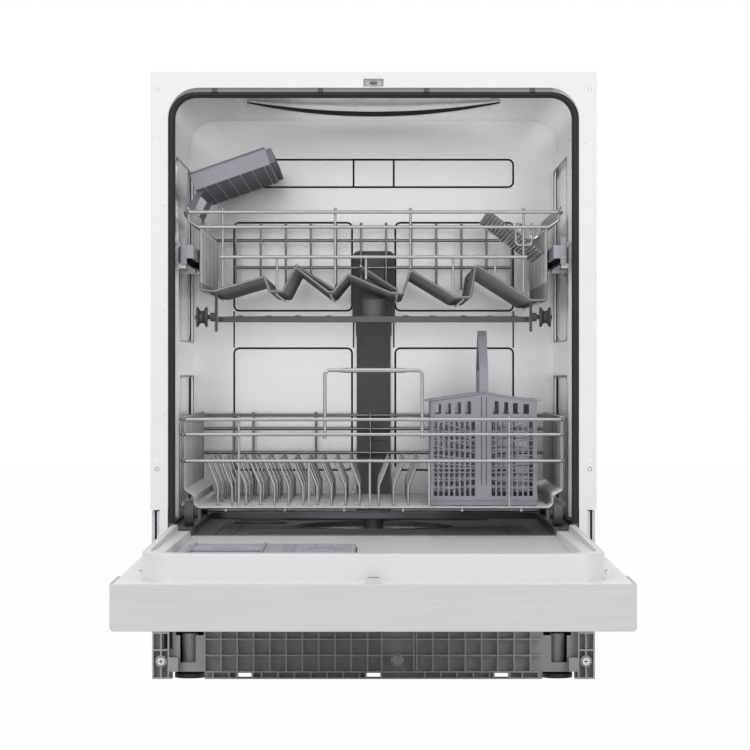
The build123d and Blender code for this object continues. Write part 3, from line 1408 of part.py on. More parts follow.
for name, makers in {**cabinet, **baskets}.items():
    save(name, solids_of(makers))
for name, makers in door.items():
    save(name, [opened(solid) for solid in solids_of(makers)])
for name, x in buttons:
    save(name, [opened(button(x))])

save("rollers_front", rollers(roller_y_front))
save("rollers_rear", rollers(roller_y_rear))
save("tines_left", [upper_tines("left")])
save("tines_right", [upper_tines("right")])
save("wheels_front", wheels(wheel_y_front))
save("wheels_rear", wheels(wheel_y_rear))
save("cutlery_lid_left", [cutlery_lid(-1)])
save("cutlery_lid_right", [cutlery_lid(1)])
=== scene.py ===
"""Looks of a semi-integrated dishwasher with its door open.

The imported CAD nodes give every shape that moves, fastens or carries load. This script gives each of
them a procedural material and adds the fine pieces that ride on them: beads and seams of the tub, lips
of the seal, marks and tabs of the front frame, tips of the wires, nozzles of the spray arms, threads of
the feet, and so on.

Lengths are written in millimetres in the cabinet's own coordinates: Y is 0 at the face of the front
frame and +Y runs to the rear, X is 0 at mid width, Z is 0 on the floor. Door pieces are written as they
stand on the closed door and are then turned about the hinge. `Place` converts both to the row's metres.
"""

from __future__ import annotations

import json
import logging
import math
from dataclasses import dataclass, field
from enum import Enum
from typing import ClassVar, Iterable, Sequence

import bpy
import numpy as np
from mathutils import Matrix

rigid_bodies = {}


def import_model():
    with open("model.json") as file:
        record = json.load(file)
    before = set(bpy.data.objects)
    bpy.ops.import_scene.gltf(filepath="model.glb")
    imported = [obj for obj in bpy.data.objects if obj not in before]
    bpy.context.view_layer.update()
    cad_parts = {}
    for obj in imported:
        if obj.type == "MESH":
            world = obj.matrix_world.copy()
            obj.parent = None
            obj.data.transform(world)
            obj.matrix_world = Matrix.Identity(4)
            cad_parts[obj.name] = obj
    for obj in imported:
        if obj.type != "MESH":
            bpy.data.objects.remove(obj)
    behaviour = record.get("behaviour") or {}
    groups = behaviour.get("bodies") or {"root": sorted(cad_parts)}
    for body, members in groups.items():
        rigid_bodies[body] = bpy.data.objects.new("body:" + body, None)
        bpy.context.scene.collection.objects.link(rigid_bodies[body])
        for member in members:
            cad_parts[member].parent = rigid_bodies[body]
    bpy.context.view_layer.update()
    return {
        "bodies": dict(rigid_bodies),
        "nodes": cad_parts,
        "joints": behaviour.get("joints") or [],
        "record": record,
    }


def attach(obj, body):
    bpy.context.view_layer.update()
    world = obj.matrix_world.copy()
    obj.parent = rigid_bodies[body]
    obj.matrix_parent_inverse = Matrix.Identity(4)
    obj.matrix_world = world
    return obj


LOG = logging.getLogger("dishwasher")

Array = np.ndarray
Colour = tuple[float, float, float]
Vector = tuple[float, float, float]
Span = tuple[float, float]

ALONG_X: Vector = (1, 0, 0)
ALONG_Y: Vector = (0, 1, 0)
ALONG_Z: Vector = (0, 0, 1)
TO_MIDDLE: Vector = (-1, 0, 0)
TO_FRONT: Vector = (0, -1, 0)
ORIGIN: Vector = (0, 0, 0)
FULL_TURN = 2.0 * math.pi
MM_PER_M = 1000.0
SHARP_DEG = 38.0
LEAST_RADIUS = 1e-3


class Place:
    """Where things stand: the cabinet's sizes in millimetres and the way to the row's metres."""

    SHIFT_Y = 41.534
    HINGE_Y = -3.3
    HINGE_Z = 182.2
    OPEN_DEG = 90.7
    HALF_W = 299.0
    TUB_HALF = 277.5
    TUB_TOP = 797.0
    TUB_BACK = 510.0
    LEDGE_Z = 205.0
    FLOOR_Z = 196.0
    DOOR_IN_Y = -2.0
    FASCIA_Y = -56.0
    SKIN_Y = -36.0
    RIM_Y = 29.3
    DISH_Y = 10.3
    ARM_Y = 260.0
    FOOT_X = 250.0
    FOOT_Y = 68.0

    @classmethod
    def row(cls, points: Array) -> Array:
        """Cabinet millimetres to row metres.

        Args:
            points: places in the cabinet's coordinates, shape (n, 3).

        Returns:
            The same places in metres, moved along Y by the row's shift.
        """
        return (np.asarray(points, dtype=float) + (0.0, cls.SHIFT_Y, 0.0)) / MM_PER_M

    @classmethod
    def open_door(cls, points: Array) -> Array:
        """Closed-door millimetres to row metres on the open door.

        The turn about the hinge line is y' = hy + dy cos a - dz sin a and z' = hz + dy sin a + dz cos a,
        with (dy, dz) the distance from the hinge and a the opening angle.
        """
        points = np.asarray(points, dtype=float)
        turn = math.radians(cls.OPEN_DEG)
        dy, dz = points[:, 1] - cls.HINGE_Y, points[:, 2] - cls.HINGE_Z
        y = cls.HINGE_Y + dy * math.cos(turn) - dz * math.sin(turn)
        z = cls.HINGE_Z + dy * math.sin(turn) + dz * math.cos(turn)
        return cls.row(np.stack([points[:, 0], y, z], axis=1))


@dataclass
class Surface:
    """A mesh being made: points and polygons."""

    points: Array
    faces: list[tuple[int, ...]] = field(default_factory=list)

    def mirrored(self) -> Surface:
        """The mirror image across X = 0, with its faces still outwards."""
        return Surface(self.points * (-1.0, 1.0, 1.0), [tuple(reversed(f)) for f in self.faces])

    def both(self) -> Surface:
        """This surface and its mirror image."""
        return join([self, self.mirrored()])

    def outward(self) -> Surface:
        """A closed surface with its faces turned outwards.

        The signed volume is the sum over fan triangles of a . (b x c) / 6; below zero the faces point inwards.
        """
        fans = np.array([(f[0], f[i], f[i + 1]) for f in self.faces for i in range(1, len(f) - 1)])
        a, b, c = (self.points[fans[:, k]] - self.points[0] for k in range(3))
        volume = float(np.einsum("ij,ij->i", a, np.cross(b, c)).sum())
        return self if volume >= 0 else Surface(self.points, [tuple(reversed(f)) for f in self.faces])


def join(surfaces: Iterable[Surface]) -> Surface:
    """Several surfaces as one."""
    points, faces, start = [], [], 0
    for surface in surfaces:
        points.append(surface.points)
        faces += [tuple(i + start for i in f) for f in surface.faces]
        start += len(surface.points)
    return Surface(np.concatenate(points), faces)


def repeated(surface: Surface, offsets: Sequence[Sequence[float]]) -> Surface:
    """A surface copied to many places.

    Args:
        surface: the shape to copy.
        offsets: shifts, shape (k, 3).

    Returns:
        One surface; point i of copy k is the point i plus offset k.
    """
    offsets = np.asarray(offsets, dtype=float)
    count = len(surface.points)
    points = (surface.points[None, :, :] + offsets[:, None, :]).reshape(-1, 3)
    faces = [tuple(i + k * count for i in f) for k in range(len(offsets)) for f in surface.faces]
    return Surface(points, faces)


def grid_faces(rows: int, columns: int, wrap_rows: bool, wrap_columns: bool) -> list[tuple[int, ...]]:
    """Quads of a grid of points stored row by row, closed round either way."""
    r = np.arange(rows if wrap_rows else rows - 1)
    c = np.arange(columns if wrap_columns else columns - 1)
    r, c = (g.ravel() for g in np.meshgrid(r, c, indexing="ij"))
    r1, c1 = (r + 1) % rows, (c + 1) % columns
    quads = np.stack([r * columns + c, r * columns + c1, r1 * columns + c1, r1 * columns + c], axis=1)
    return [tuple(q) for q in quads.tolist()]


def end_caps(rings: int, sides: int) -> list[tuple[int, ...]]:
    """The two faces that close a row of rings."""
    last = (rings - 1) * sides
    return [tuple(range(sides - 1, -1, -1)), tuple(range(last, last + sides))]


def turning_frame(axis: Sequence[float]) -> tuple[Array, Array, Array]:
    """An axis as a unit vector, with two unit vectors across it: (a, e1, e2)."""
    a = np.asarray(axis, dtype=float) / np.linalg.norm(axis)
    e1 = np.cross(a, ALONG_X if abs(a[0]) < 0.9 else ALONG_Y)
    e1 /= np.linalg.norm(e1)
    return a, e1, np.cross(a, e1)


def angles(count: int) -> Array:
    """Even steps round a full turn, without the repeated end."""
    return np.linspace(0.0, FULL_TURN, count, endpoint=False)


def tube(path: Array, radius: float, up: Sequence[float], sides: int = 8, closed: bool = False) -> Surface:
    """A round bar along a flat path.

    At each point the ring is p + r (u cos t + n m sin t), with u the normal of the path's plane, n the
    direction across the path in it and m = 1 / cos(half the corner's turn), so that corners stay mitred.

    Args:
        path: points in order, shape (n, 3).
        radius: the bar's radius.
        up: normal of the plane that the path lies in.
        sides: points round each ring.
        closed: True when the last point joins the first.
    """
    path = np.asarray(path, dtype=float)
    up = np.asarray(up, dtype=float) / np.linalg.norm(up)
    ahead = np.roll(path, -1, axis=0) - path
    behind = path - np.roll(path, 1, axis=0)
    if not closed:
        ahead[-1], behind[0] = behind[-1], ahead[0]
    ahead /= np.linalg.norm(ahead, axis=1)[:, None]
    behind /= np.linalg.norm(behind, axis=1)[:, None]
    along = ahead + behind
    along /= np.linalg.norm(along, axis=1)[:, None]
    across = np.cross(along, up)
    mitre = 1.0 / np.clip(np.einsum("ij,ij->i", along, ahead), 0.4, 1.0)
    t = angles(sides)
    rings = (path[:, None, :] + radius * (np.cos(t)[None, :, None] * up
             + (np.sin(t)[None, :, None] * mitre[:, None, None]) * across[:, None, :]))
    faces = grid_faces(len(path), sides, closed, True)
    if not closed:
        faces += end_caps(len(path), sides)
    return Surface(rings.reshape(-1, 3), faces).outward()


def box(x0: float, x1: float, y0: float, y1: float, z0: float, z1: float, edge: float = 0.0) -> Surface:
    """A box between two corners, with flat chamfers along its edges when edge is above zero."""
    low, high = np.array([x0, y0, z0]), np.array([x1, y1, z1])
    signs = np.array([(i, j, k) for i in (0, 1) for j in (0, 1) for k in (0, 1)])
    if edge <= 0:
        points = low + signs * (high - low)
        faces = [(0, 1, 3, 2), (4, 6, 7, 5), (0, 4, 5, 1), (2, 3, 7, 6), (0, 2, 6, 4), (1, 5, 7, 3)]
        return Surface(points, faces)
    corners = low + signs * (high - low)
    inset = edge * (1 - 2 * signs)
    points = np.repeat(corners + inset, 3, axis=0)
    for axis in range(3):
        points[axis::3, axis] = corners[:, axis]
    index = {tuple(s): i for i, s in enumerate(signs.tolist())}
    faces = [(3 * i, 3 * i + 1, 3 * i + 2) for i in range(8)]
    for axis in range(3):
        b, c = [a for a in range(3) if a != axis]
        for side in (0, 1):
            ring = []
            for u, v in ((0, 0), (1, 0), (1, 1), (0, 1)):
                s = [0, 0, 0]
                s[axis], s[b], s[c] = side, u, v
                ring.append(3 * index[tuple(s)] + axis)
            faces.append(tuple(ring))
        for u in (0, 1):
            for v in (0, 1):
                ends = []
                for w in (0, 1):
                    s = [0, 0, 0]
                    s[axis], s[b], s[c] = w, u, v
                    ends.append(index[tuple(s)])
                faces.append((3 * ends[0] + b, 3 * ends[1] + b, 3 * ends[1] + c, 3 * ends[0] + c))
    centre = (low + high) / 2
    turned = []
    for f in faces:
        a, b_, c_ = points[f[0]], points[f[1]], points[f[2]]
        out = float(np.dot(np.cross(b_ - a, c_ - a), points[list(f)].mean(axis=0) - centre))
        turned.append(f if out >= 0 else tuple(reversed(f)))
    return Surface(points, turned)


def lathe(profile: Sequence[Span], origin: Sequence[float], axis: Sequence[float], segments: int) -> Surface:
    """A turned shape: each (r, h) of the profile gives the ring origin + h a + r (e1 cos t + e2 sin t)."""
    a, e1, e2 = turning_frame(axis)
    t = angles(segments)
    r, h = (np.array(v, dtype=float) for v in zip(*profile))
    r = np.maximum(r, LEAST_RADIUS)
    rings = (np.asarray(origin, dtype=float) + h[:, None, None] * a
             + r[:, None, None] * (np.cos(t)[None, :, None] * e1 + np.sin(t)[None, :, None] * e2))
    faces = grid_faces(len(r), segments, False, True) + end_caps(len(r), segments)
    return Surface(rings.reshape(-1, 3), faces).outward()


def ring(centre: Sequence[float], axis: Sequence[float], radius: float, thick: float, segments: int,
         sides: int) -> Surface:
    """A torus: centre + (R + r cos s)(e1 cos t + e2 sin t) + r sin s a."""
    a, e1, e2 = turning_frame(axis)
    t = angles(segments)
    s = angles(sides)
    out = np.cos(t)[:, None, None] * e1 + np.sin(t)[:, None, None] * e2
    reach = (radius + thick * np.cos(s))[None, :, None]
    points = np.asarray(centre, dtype=float) + out * reach + (thick * np.sin(s))[None, :, None] * a
    return Surface(points.reshape(-1, 3), grid_faces(segments, sides, True, True)).outward()


def thread(centre: Sequence[float], radius: float, depth: float, pitch: float, turns: int,
           segments: int = 20) -> Surface:
    """A screw thread round +Z: the ridge's four corners follow z = pitch u / 2 pi for the angle u."""
    u = np.linspace(0.0, FULL_TURN * turns, segments * turns + 1)
    corner_r = np.array([radius - 0.2, radius + depth, radius + depth, radius - 0.2])
    corner_z = np.array([-0.36, -0.1, 0.1, 0.36]) * pitch
    x = corner_r[None, :] * np.cos(u)[:, None]
    y = corner_r[None, :] * np.sin(u)[:, None]
    z = pitch * u[:, None] / FULL_TURN + corner_z[None, :]
    points = np.stack([x, y, z], axis=2).reshape(-1, 3) + np.asarray(centre, dtype=float)
    faces = grid_faces(len(u), 4, False, True)
    faces += [(3, 2, 1, 0), tuple(range(len(points) - 4, len(points)))]
    return Surface(points, faces).outward()


def ball(radius: float) -> Surface:
    """A small round tip with few faces, round the origin."""
    s = np.linspace(0.0, math.pi, 6)
    return lathe(list(zip(radius * np.sin(s), -radius * np.cos(s))), ORIGIN, ALONG_Z, 8)


def rounded_rectangle(width: float, height: float, radius: float, steps: int = 6) -> Array:
    """Corner-rounded outline round the origin: each corner is c + r (cos t, sin t) over a quarter turn."""
    corners = []
    for k, (sx, sy) in enumerate(((1, 1), (-1, 1), (-1, -1), (1, -1))):
        t = np.linspace(0.0, math.pi / 2, steps) + k * math.pi / 2
        centre = np.array([sx * (width / 2 - radius), sy * (height / 2 - radius)])
        corners.append(centre + radius * np.stack([np.cos(t), np.sin(t)], axis=1))
    return np.concatenate(corners)


def arch_path(width: float, z0: float, z1: float, radius: float, y: float) -> Array:
    """An upside-down U in X and Z at depth y, with two rounded upper corners."""
    half = width / 2
    t = np.linspace(math.pi, math.pi / 2, 10)
    left = np.stack([-half + radius + radius * np.cos(t), z1 - radius + radius * np.sin(t)], axis=1)
    right = left[::-1] * (-1.0, 1.0)
    flat = np.concatenate([[[-half, z0]], left, right, [[half, z0]]])
    return np.stack([flat[:, 0], np.full(len(flat), y), flat[:, 1]], axis=1)


def plate(outline: Array, normal_axis: int, low: float, high: float) -> Surface:
    """A flat outline thickened along one axis from low to high."""
    count = len(outline)
    columns = [i for i in range(3) if i != normal_axis]
    points = np.zeros((2 * count, 3))
    points[:count, columns] = outline
    points[count:, columns] = outline
    points[:count, normal_axis] = low
    points[count:, normal_axis] = high
    faces = [tuple(range(count)), tuple(range(2 * count - 1, count - 1, -1))]
    faces += [(i, (i + 1) % count, (i + 1) % count + count, i + count) for i in range(count)]
    return Surface(points, faces).outward()


def outline_path(outline: Array, axis: int, level: float, middle: Span) -> Array:
    """A flat outline round a middle, stood at a level across one axis."""
    path = np.full((len(outline), 3), level)
    path[:, [i for i in range(3) if i != axis]] = outline + middle
    return path


def turned(surface: Surface, axes: tuple[int, int], turn: float, to: Sequence[float]) -> Surface:
    """A surface turned in the plane of two axes, from the first towards the second, and then moved."""
    points = surface.points.copy()
    a, b = (surface.points[:, k] for k in axes)
    points[:, axes[0]] = a * math.cos(turn) - b * math.sin(turn)
    points[:, axes[1]] = a * math.sin(turn) + b * math.cos(turn)
    return Surface(points + np.asarray(to, dtype=float), surface.faces)


def flat_ring(outer: Array, inner: Array, normal_axis: int, low: float, high: float) -> Surface:
    """The band between two outlines of equal length, thickened along one axis."""
    count = len(outer)
    columns = [i for i in range(3) if i != normal_axis]
    points = np.zeros((4 * count, 3))
    for k, (line, level) in enumerate(((outer, low), (outer, high), (inner, high), (inner, low))):
        points[k * count:(k + 1) * count, columns] = line
        points[k * count:(k + 1) * count, normal_axis] = level
    return Surface(points, grid_faces(4, count, True, True)).outward()


def rounded_band(size: Span, middle: Span, grow: Span, radii: Span, low: float, high: float) -> Surface:
    """A band in X and Z between two rounded rectangles.

    Args:
        size: the shared width and height.
        middle: the shared middle.
        grow: what is added to the size, for the outer and for the inner outline.
        radii: their corner radii.
        low: the band's front in Y.
        high: its rear in Y.
    """
    outer, inner = (rounded_rectangle(size[0] + g, size[1] + g, r) + middle for g, r in zip(grow, radii))
    return flat_ring(outer, inner, 1, low, high)


class Grain(Enum):
    """How a finish breaks up at close range."""

    BRUSHED_X = "brushed_x"
    SHEET = "sheet"
    ZINC = "zinc"
    MOULDED = "moulded"
    COATED = "coated"
    RUBBER = "rubber"
    PAINT = "paint"
    FELT = "felt"
    GLOSS = "gloss"


@dataclass(frozen=True)
class Finish:
    """One material: what it is made of and how it breaks up.

    Attributes:
        colour: linear base colour.
        grain: the family of fine structure.
        metallic: 1 for bare metal.
        roughness: middle roughness.
        spread: how far the roughness wanders either way.
        bump: depth of the fine structure, in millimetres.
        soften: radius of the shaded edges, in millimetres; 0 leaves the edges as they are.
        coat: strength of a clear coat.
        mottle: how much the colour wanders, as a share of its brightness.
    """

    colour: Colour
    grain: Grain
    metallic: float = 0.0
    roughness: float = 0.5
    spread: float = 0.05
    bump: float = 0.02
    soften: float = 0.0
    coat: float = 0.0
    mottle: float = 0.04

    @property
    def name(self) -> str:
        """A plain name, from the grain, the brightness and the roughness."""
        return f"{self.grain.value}_{int(1000 * sum(self.colour) / 3):03d}_{int(100 * self.roughness):02d}"


TUB_STEEL = Finish((0.93, 0.93, 0.94), Grain.SHEET, 0.88, 0.25, 0.03, 0.0006, 0.9, mottle=0.012)
# A darker copy of TUB_STEEL: painted shade along the folds round the side walls' sunk windows.
FOLD_SHADE_STEEL = Finish((0.55, 0.55, 0.56), Grain.SHEET, 1.0, 0.34, 0.03, 0.0006, 0.9, mottle=0.02)
LINER_STEEL = Finish((0.72, 0.72, 0.73), Grain.SHEET, 0.45, 0.40, 0.04, 0.0008, 1.4, mottle=0.02)
FASCIA_STEEL = Finish((0.65, 0.655, 0.66), Grain.BRUSHED_X, 1.0, 0.34, 0.06, 0.006, 0.8, mottle=0.05)
GALVANISED = Finish((0.62, 0.64, 0.66), Grain.ZINC, 1.0, 0.42, 0.08, 0.01, 0.5, mottle=0.10)
STRIP_ZINC = Finish((0.25, 0.25, 0.25), Grain.ZINC, 1.0, 0.34, 0.05, 0.004, 0.3, mottle=0.06)
ZINC_BRIGHT = Finish((0.78, 0.78, 0.76), Grain.ZINC, 1.0, 0.28, 0.05, 0.004, 0.3, mottle=0.04)
SPRING_STEEL = Finish((0.30, 0.30, 0.31), Grain.ZINC, 1.0, 0.38, 0.05, 0.004)
MARK_WHITE = Finish((0.95, 0.95, 0.95), Grain.PAINT, 0.0, 0.40, 0.04, 0.002)
WHITE_PAINT = Finish((0.80, 0.80, 0.79), Grain.PAINT, 0.0, 0.34, 0.04, 0.004, 0.6, 0.15, 0.02)
SKIN_PAINT = Finish((0.48, 0.49, 0.50), Grain.PAINT, 0.0, 0.45, 0.05, 0.006, 0.6, 0.0, 0.03)
SEAL_RUBBER = Finish((0.014, 0.014, 0.015), Grain.RUBBER, 0.0, 0.58, 0.06, 0.03, 0.8, mottle=0.2)
FEET_BLACK = Finish((0.016, 0.016, 0.017), Grain.MOULDED, 0.0, 0.48, 0.06, 0.02, 0.5, mottle=0.1)
DARK_PLASTIC = Finish((0.070, 0.073, 0.078), Grain.MOULDED, 0.0, 0.42, 0.06, 0.015, 0.6, mottle=0.07)
DUCT_PLASTIC = Finish((0.205, 0.207, 0.21), Grain.MOULDED, 0.0, 0.38, 0.06, 0.012, 0.6, mottle=0.07)
MID_PLASTIC = Finish((0.15, 0.155, 0.17), Grain.MOULDED, 0.0, 0.42, 0.05, 0.012, 0.5, mottle=0.05)
ARM_PLASTIC = Finish((0.20, 0.205, 0.22), Grain.MOULDED, 0.0, 0.40, 0.05, 0.012, 0.5, mottle=0.05)
VIOLET_PLASTIC = Finish((0.30, 0.30, 0.345), Grain.MOULDED, 0.0, 0.40, 0.05, 0.010, 0.5, mottle=0.04)
VIOLET_MID = Finish((0.34, 0.34, 0.385), Grain.MOULDED, 0.0, 0.40, 0.05, 0.008, 0.6, mottle=0.04)
VIOLET_PALE = Finish((0.44, 0.44, 0.50), Grain.MOULDED, 0.0, 0.38, 0.05, 0.008, 0.6, mottle=0.04)
# Paler than the base's own grey: painted light that lifts the shade the open door casts on the base.
LIFTED_BASE_PLASTIC = Finish((0.48, 0.48, 0.485), Grain.MOULDED, 0.0, 0.50, 0.06, 0.02, 0.5, mottle=0.06)
PALE_PLASTIC = Finish((0.62, 0.62, 0.60), Grain.MOULDED, 0.0, 0.42, 0.05, 0.012, 0.6, mottle=0.04)
COATED_WIRE = Finish((0.44, 0.44, 0.445), Grain.COATED, 0.85, 0.22, 0.05, 0.008, 0.0, 0.30, 0.05)
# A darker copy of COATED_WIRE: painted shade for the wires that lie deep in the baskets (floors, tines and rack).
SHADED_WIRE = Finish((0.22, 0.22, 0.225), Grain.COATED, 0.60, 0.26, 0.05, 0.008, 0.0, 0.30, 0.06)
FELT = Finish((0.030, 0.030, 0.032), Grain.FELT, 0.0, 0.86, 0.06, 0.25, mottle=0.25)
GLASS_BLACK = Finish((0.008, 0.008, 0.010), Grain.GLOSS, 0.0, 0.08, 0.02, 0.001, 0.3, 0.5, 0.0)
BUTTON_METAL = Finish((0.76, 0.76, 0.75), Grain.GLOSS, 1.0, 0.16, 0.03, 0.001, 0.3, mottle=0.02)
BOARD_GREEN = Finish((0.02, 0.10, 0.04), Grain.GLOSS, 0.0, 0.40, 0.05, 0.01, 0.0, 0.2, 0.10)
# Black for real dark seams and joints, and also for painted shade in grooves, pressed lines, the ceiling's swage,
# slots, vents, nozzle mouths and behind the foot windows.
BLACK_LINE = Finish((0.012, 0.012, 0.013), Grain.RUBBER, 0.0, 0.62, 0.05, 0.01, mottle=0.1)
SHADOW_GREY = Finish((0.05, 0.05, 0.052), Grain.SHEET, 0.6, 0.50, 0.05, 0.004, mottle=0.1)

NODE_FINISH: dict[str, Finish] = {
    "tub_shell": TUB_STEEL, "front_frame": WHITE_PAINT, "frame_fittings": STRIP_ZINC, "door_seal": SEAL_RUBBER,
    "tub_floor": DARK_PLASTIC, "sump": DARK_PLASTIC, "filter_plate": TUB_STEEL, "filter_cup": MID_PLASTIC,
    "salt_cap": MID_PLASTIC, "softener_unit": PALE_PLASTIC, "water_duct": DUCT_PLASTIC, "runners": TUB_STEEL,
    "insulation": FELT, "side_panels": GALVANISED, "rear_panel": GALVANISED, "pumps": MID_PLASTIC,
    "inlet_valve": PALE_PLASTIC, "door_springs": SPRING_STEEL, "hinge_brackets": GALVANISED,
    "base_tray": LIFTED_BASE_PLASTIC, "base_hardware": ZINC_BRIGHT, "lower_spray_arm": ARM_PLASTIC,
    "front_feet": FEET_BLACK, "rear_foot": FEET_BLACK, "door_liner": LINER_STEEL, "door_skin": SKIN_PAINT,
    "fascia_shell": FASCIA_STEEL, "grip_pocket": FEET_BLACK, "display_window": GLASS_BLACK,
    "control_board": BOARD_GREEN, "hinge_arms": GALVANISED, "door_latch": PALE_PLASTIC,
    "dispenser_housing": VIOLET_PLASTIC, "dispenser_lid": VIOLET_MID, "rinse_cap": VIOLET_MID,
    "power_button": BUTTON_METAL, "program_button": BUTTON_METAL, "delay_button": BUTTON_METAL,
    "start_button": BUTTON_METAL, "upper_frame": COATED_WIRE, "upper_floor": SHADED_WIRE,
    "side_housings": DARK_PLASTIC, "feed_tube": DUCT_PLASTIC, "upper_spray_arm": ARM_PLASTIC,
    "cup_shelf": VIOLET_PLASTIC, "wire_rack": SHADED_WIRE, "tines_left": SHADED_WIRE, "tines_right": SHADED_WIRE,
    "height_levers": VIOLET_PALE, "rollers_front": MID_PLASTIC, "rollers_rear": MID_PLASTIC,
    "spare_rollers": DARK_PLASTIC, "lower_frame": COATED_WIRE, "plate_tines": COATED_WIRE,
    "wheel_carriers": MID_PLASTIC, "wheels_front": MID_PLASTIC, "wheels_rear": MID_PLASTIC,
    "cutlery_basket": VIOLET_PLASTIC, "cutlery_lid_left": VIOLET_PLASTIC, "cutlery_lid_right": VIOLET_PLASTIC,
}


Socket = bpy.types.NodeSocket
WHITE = (1.0, 1.0, 1.0, 1.0)


class Graph:
    """A thin hand on a node tree: adds nodes with their values and links."""

    def __init__(self, tree: bpy.types.NodeTree) -> None:
        self.tree = tree
        self.column = 0

    @classmethod
    def fresh(cls, owner: bpy.types.Material | bpy.types.World) -> Graph:
        """The emptied node tree of a material or a world."""
        owner.use_nodes = True
        owner.node_tree.nodes.clear()
        return cls(owner.node_tree)

    def add(self, kind: str, inputs: dict | None = None, **settings: object) -> bpy.types.Node:
        """Adds a node.

        Args:
            kind: the node's type.
            inputs: for an input, by name or number, its value or the socket that feeds it.
            settings: the node's own properties.
        """
        node = self.tree.nodes.new(kind)
        node.location = (self.column * 200.0, -40.0 * (self.column % 3))
        self.column += 1
        for key, value in settings.items():
            setattr(node, key, value)
        for key, value in (inputs or {}).items():
            if isinstance(value, Socket):
                self.tree.links.new(value, node.inputs[key])
            else:
                node.inputs[key].default_value = value
        return node

    def maths(self, operation: str, a: Socket, b: Socket | float) -> Socket:
        """One sum on a socket and a constant, or on two sockets."""
        return self.add("ShaderNodeMath", {0: a, 1: b}, operation=operation).outputs[0]

    def swing(self, value: Socket, amount: float) -> Socket:
        """A value from 0 to 1 turned into a swing about zero: amount (value - 1/2)."""
        return self.maths("MULTIPLY", self.maths("SUBTRACT", value, 0.5), amount)

    def noise(self, vector: Socket, **values: float) -> Socket:
        """Solid noise over a vector; the values are the node's inputs by name."""
        return self.add("ShaderNodeTexNoise", {"Vector": vector, **values}, noise_dimensions="3D").outputs["Fac"]

    def stretched(self, vector: Socket, scale: Sequence[float]) -> Socket:
        """A vector scaled by one amount for each axis."""
        return self.add("ShaderNodeMapping", {"Vector": vector, "Scale": scale}).outputs["Vector"]

    def mixed(self, share: Socket, first: bpy.types.Node, second: bpy.types.Node) -> Socket:
        """Two shaders mixed by a share, 0 for the first and 1 for the second."""
        return self.add("ShaderNodeMixShader", {0: share, 1: first.outputs[0], 2: second.outputs[0]}).outputs[0]


class GroupKit:
    """The shared node groups: each gives a fine value, a slow value and a mask of marks."""

    # For each family: how the fine structure is stretched, its scale per metre and its detail.
    FINE: dict[Grain, tuple[Sequence[float], float, float]] = {
        Grain.BRUSHED_X: ((1.5, 90.0, 90.0), 26.0, 6.0),
        Grain.SHEET: ((9.0, 9.0, 70.0), 12.0, 2.0),
        Grain.ZINC: ((1.0, 1.0, 1.0), 170.0, 3.0),
        Grain.MOULDED: ((1.0, 1.0, 1.0), 900.0, 3.0),
        Grain.COATED: ((1.0, 1.0, 1.0), 700.0, 2.0),
        Grain.RUBBER: ((1.0, 1.0, 1.0), 520.0, 4.0),
        Grain.PAINT: ((1.0, 1.0, 1.0), 620.0, 3.0),
        Grain.FELT: ((1.0, 1.0, 1.0), 240.0, 8.0),
        Grain.GLOSS: ((1.0, 1.0, 1.0), 300.0, 2.0),
    }

    FINE_ROUGHNESS = 0.62
    SLOW = {"Scale": 7.0, "Detail": 4.0, "Distortion": 0.4}
    FLAKE_SCALE = 120.0
    # Marks: share of the fine stretch and scale, least scale, detail, and the range that becomes 0 to 1.
    MARK_STRETCH, MARK_SCALE, LEAST_MARK_SCALE, MARK_DETAIL = 0.35, 0.2, 18.0, 3.0
    MARK_RANGE = {"From Min": 0.42, "From Max": 0.66}

    def __init__(self) -> None:
        self.groups: dict[Grain, bpy.types.NodeTree] = {}

    def get(self, grain: Grain) -> bpy.types.NodeTree:
        """The group of one family, made on first use."""
        if grain not in self.groups:
            self.groups[grain] = self._make(grain)
        return self.groups[grain]

    def _make(self, grain: Grain) -> bpy.types.NodeTree:
        """Builds a group: object coordinates, stretched, into a fine noise, a slow noise and a mask of marks."""
        stretch, scale, detail = self.FINE[grain]
        tree = bpy.data.node_groups.new(f"grain_{grain.value}", "ShaderNodeTree")
        for name in ("Fine", "Slow", "Marks"):
            tree.interface.new_socket(name=name, in_out="OUTPUT", socket_type="NodeSocketFloat")
        graph = Graph(tree)
        place = graph.add("ShaderNodeTexCoord").outputs["Object"]
        fine = graph.noise(graph.stretched(place, stretch), Scale=scale, Detail=detail,
                           Roughness=self.FINE_ROUGHNESS)
        slow = graph.noise(place, **self.SLOW)
        if grain is Grain.ZINC:
            marks = graph.add("ShaderNodeTexVoronoi", {"Vector": place, "Scale": self.FLAKE_SCALE},
                              feature="F1").outputs["Color"]
        else:
            wide = graph.stretched(place, tuple(s * self.MARK_STRETCH for s in stretch))
            spots = graph.noise(wide, Scale=max(scale * self.MARK_SCALE, self.LEAST_MARK_SCALE),
                                Detail=self.MARK_DETAIL)
            marks = graph.add("ShaderNodeMapRange", {"Value": spots, **self.MARK_RANGE},
                              clamp=True).outputs["Result"]
        graph.add("NodeGroupOutput", {"Fine": fine, "Slow": slow, "Marks": marks})
        return tree


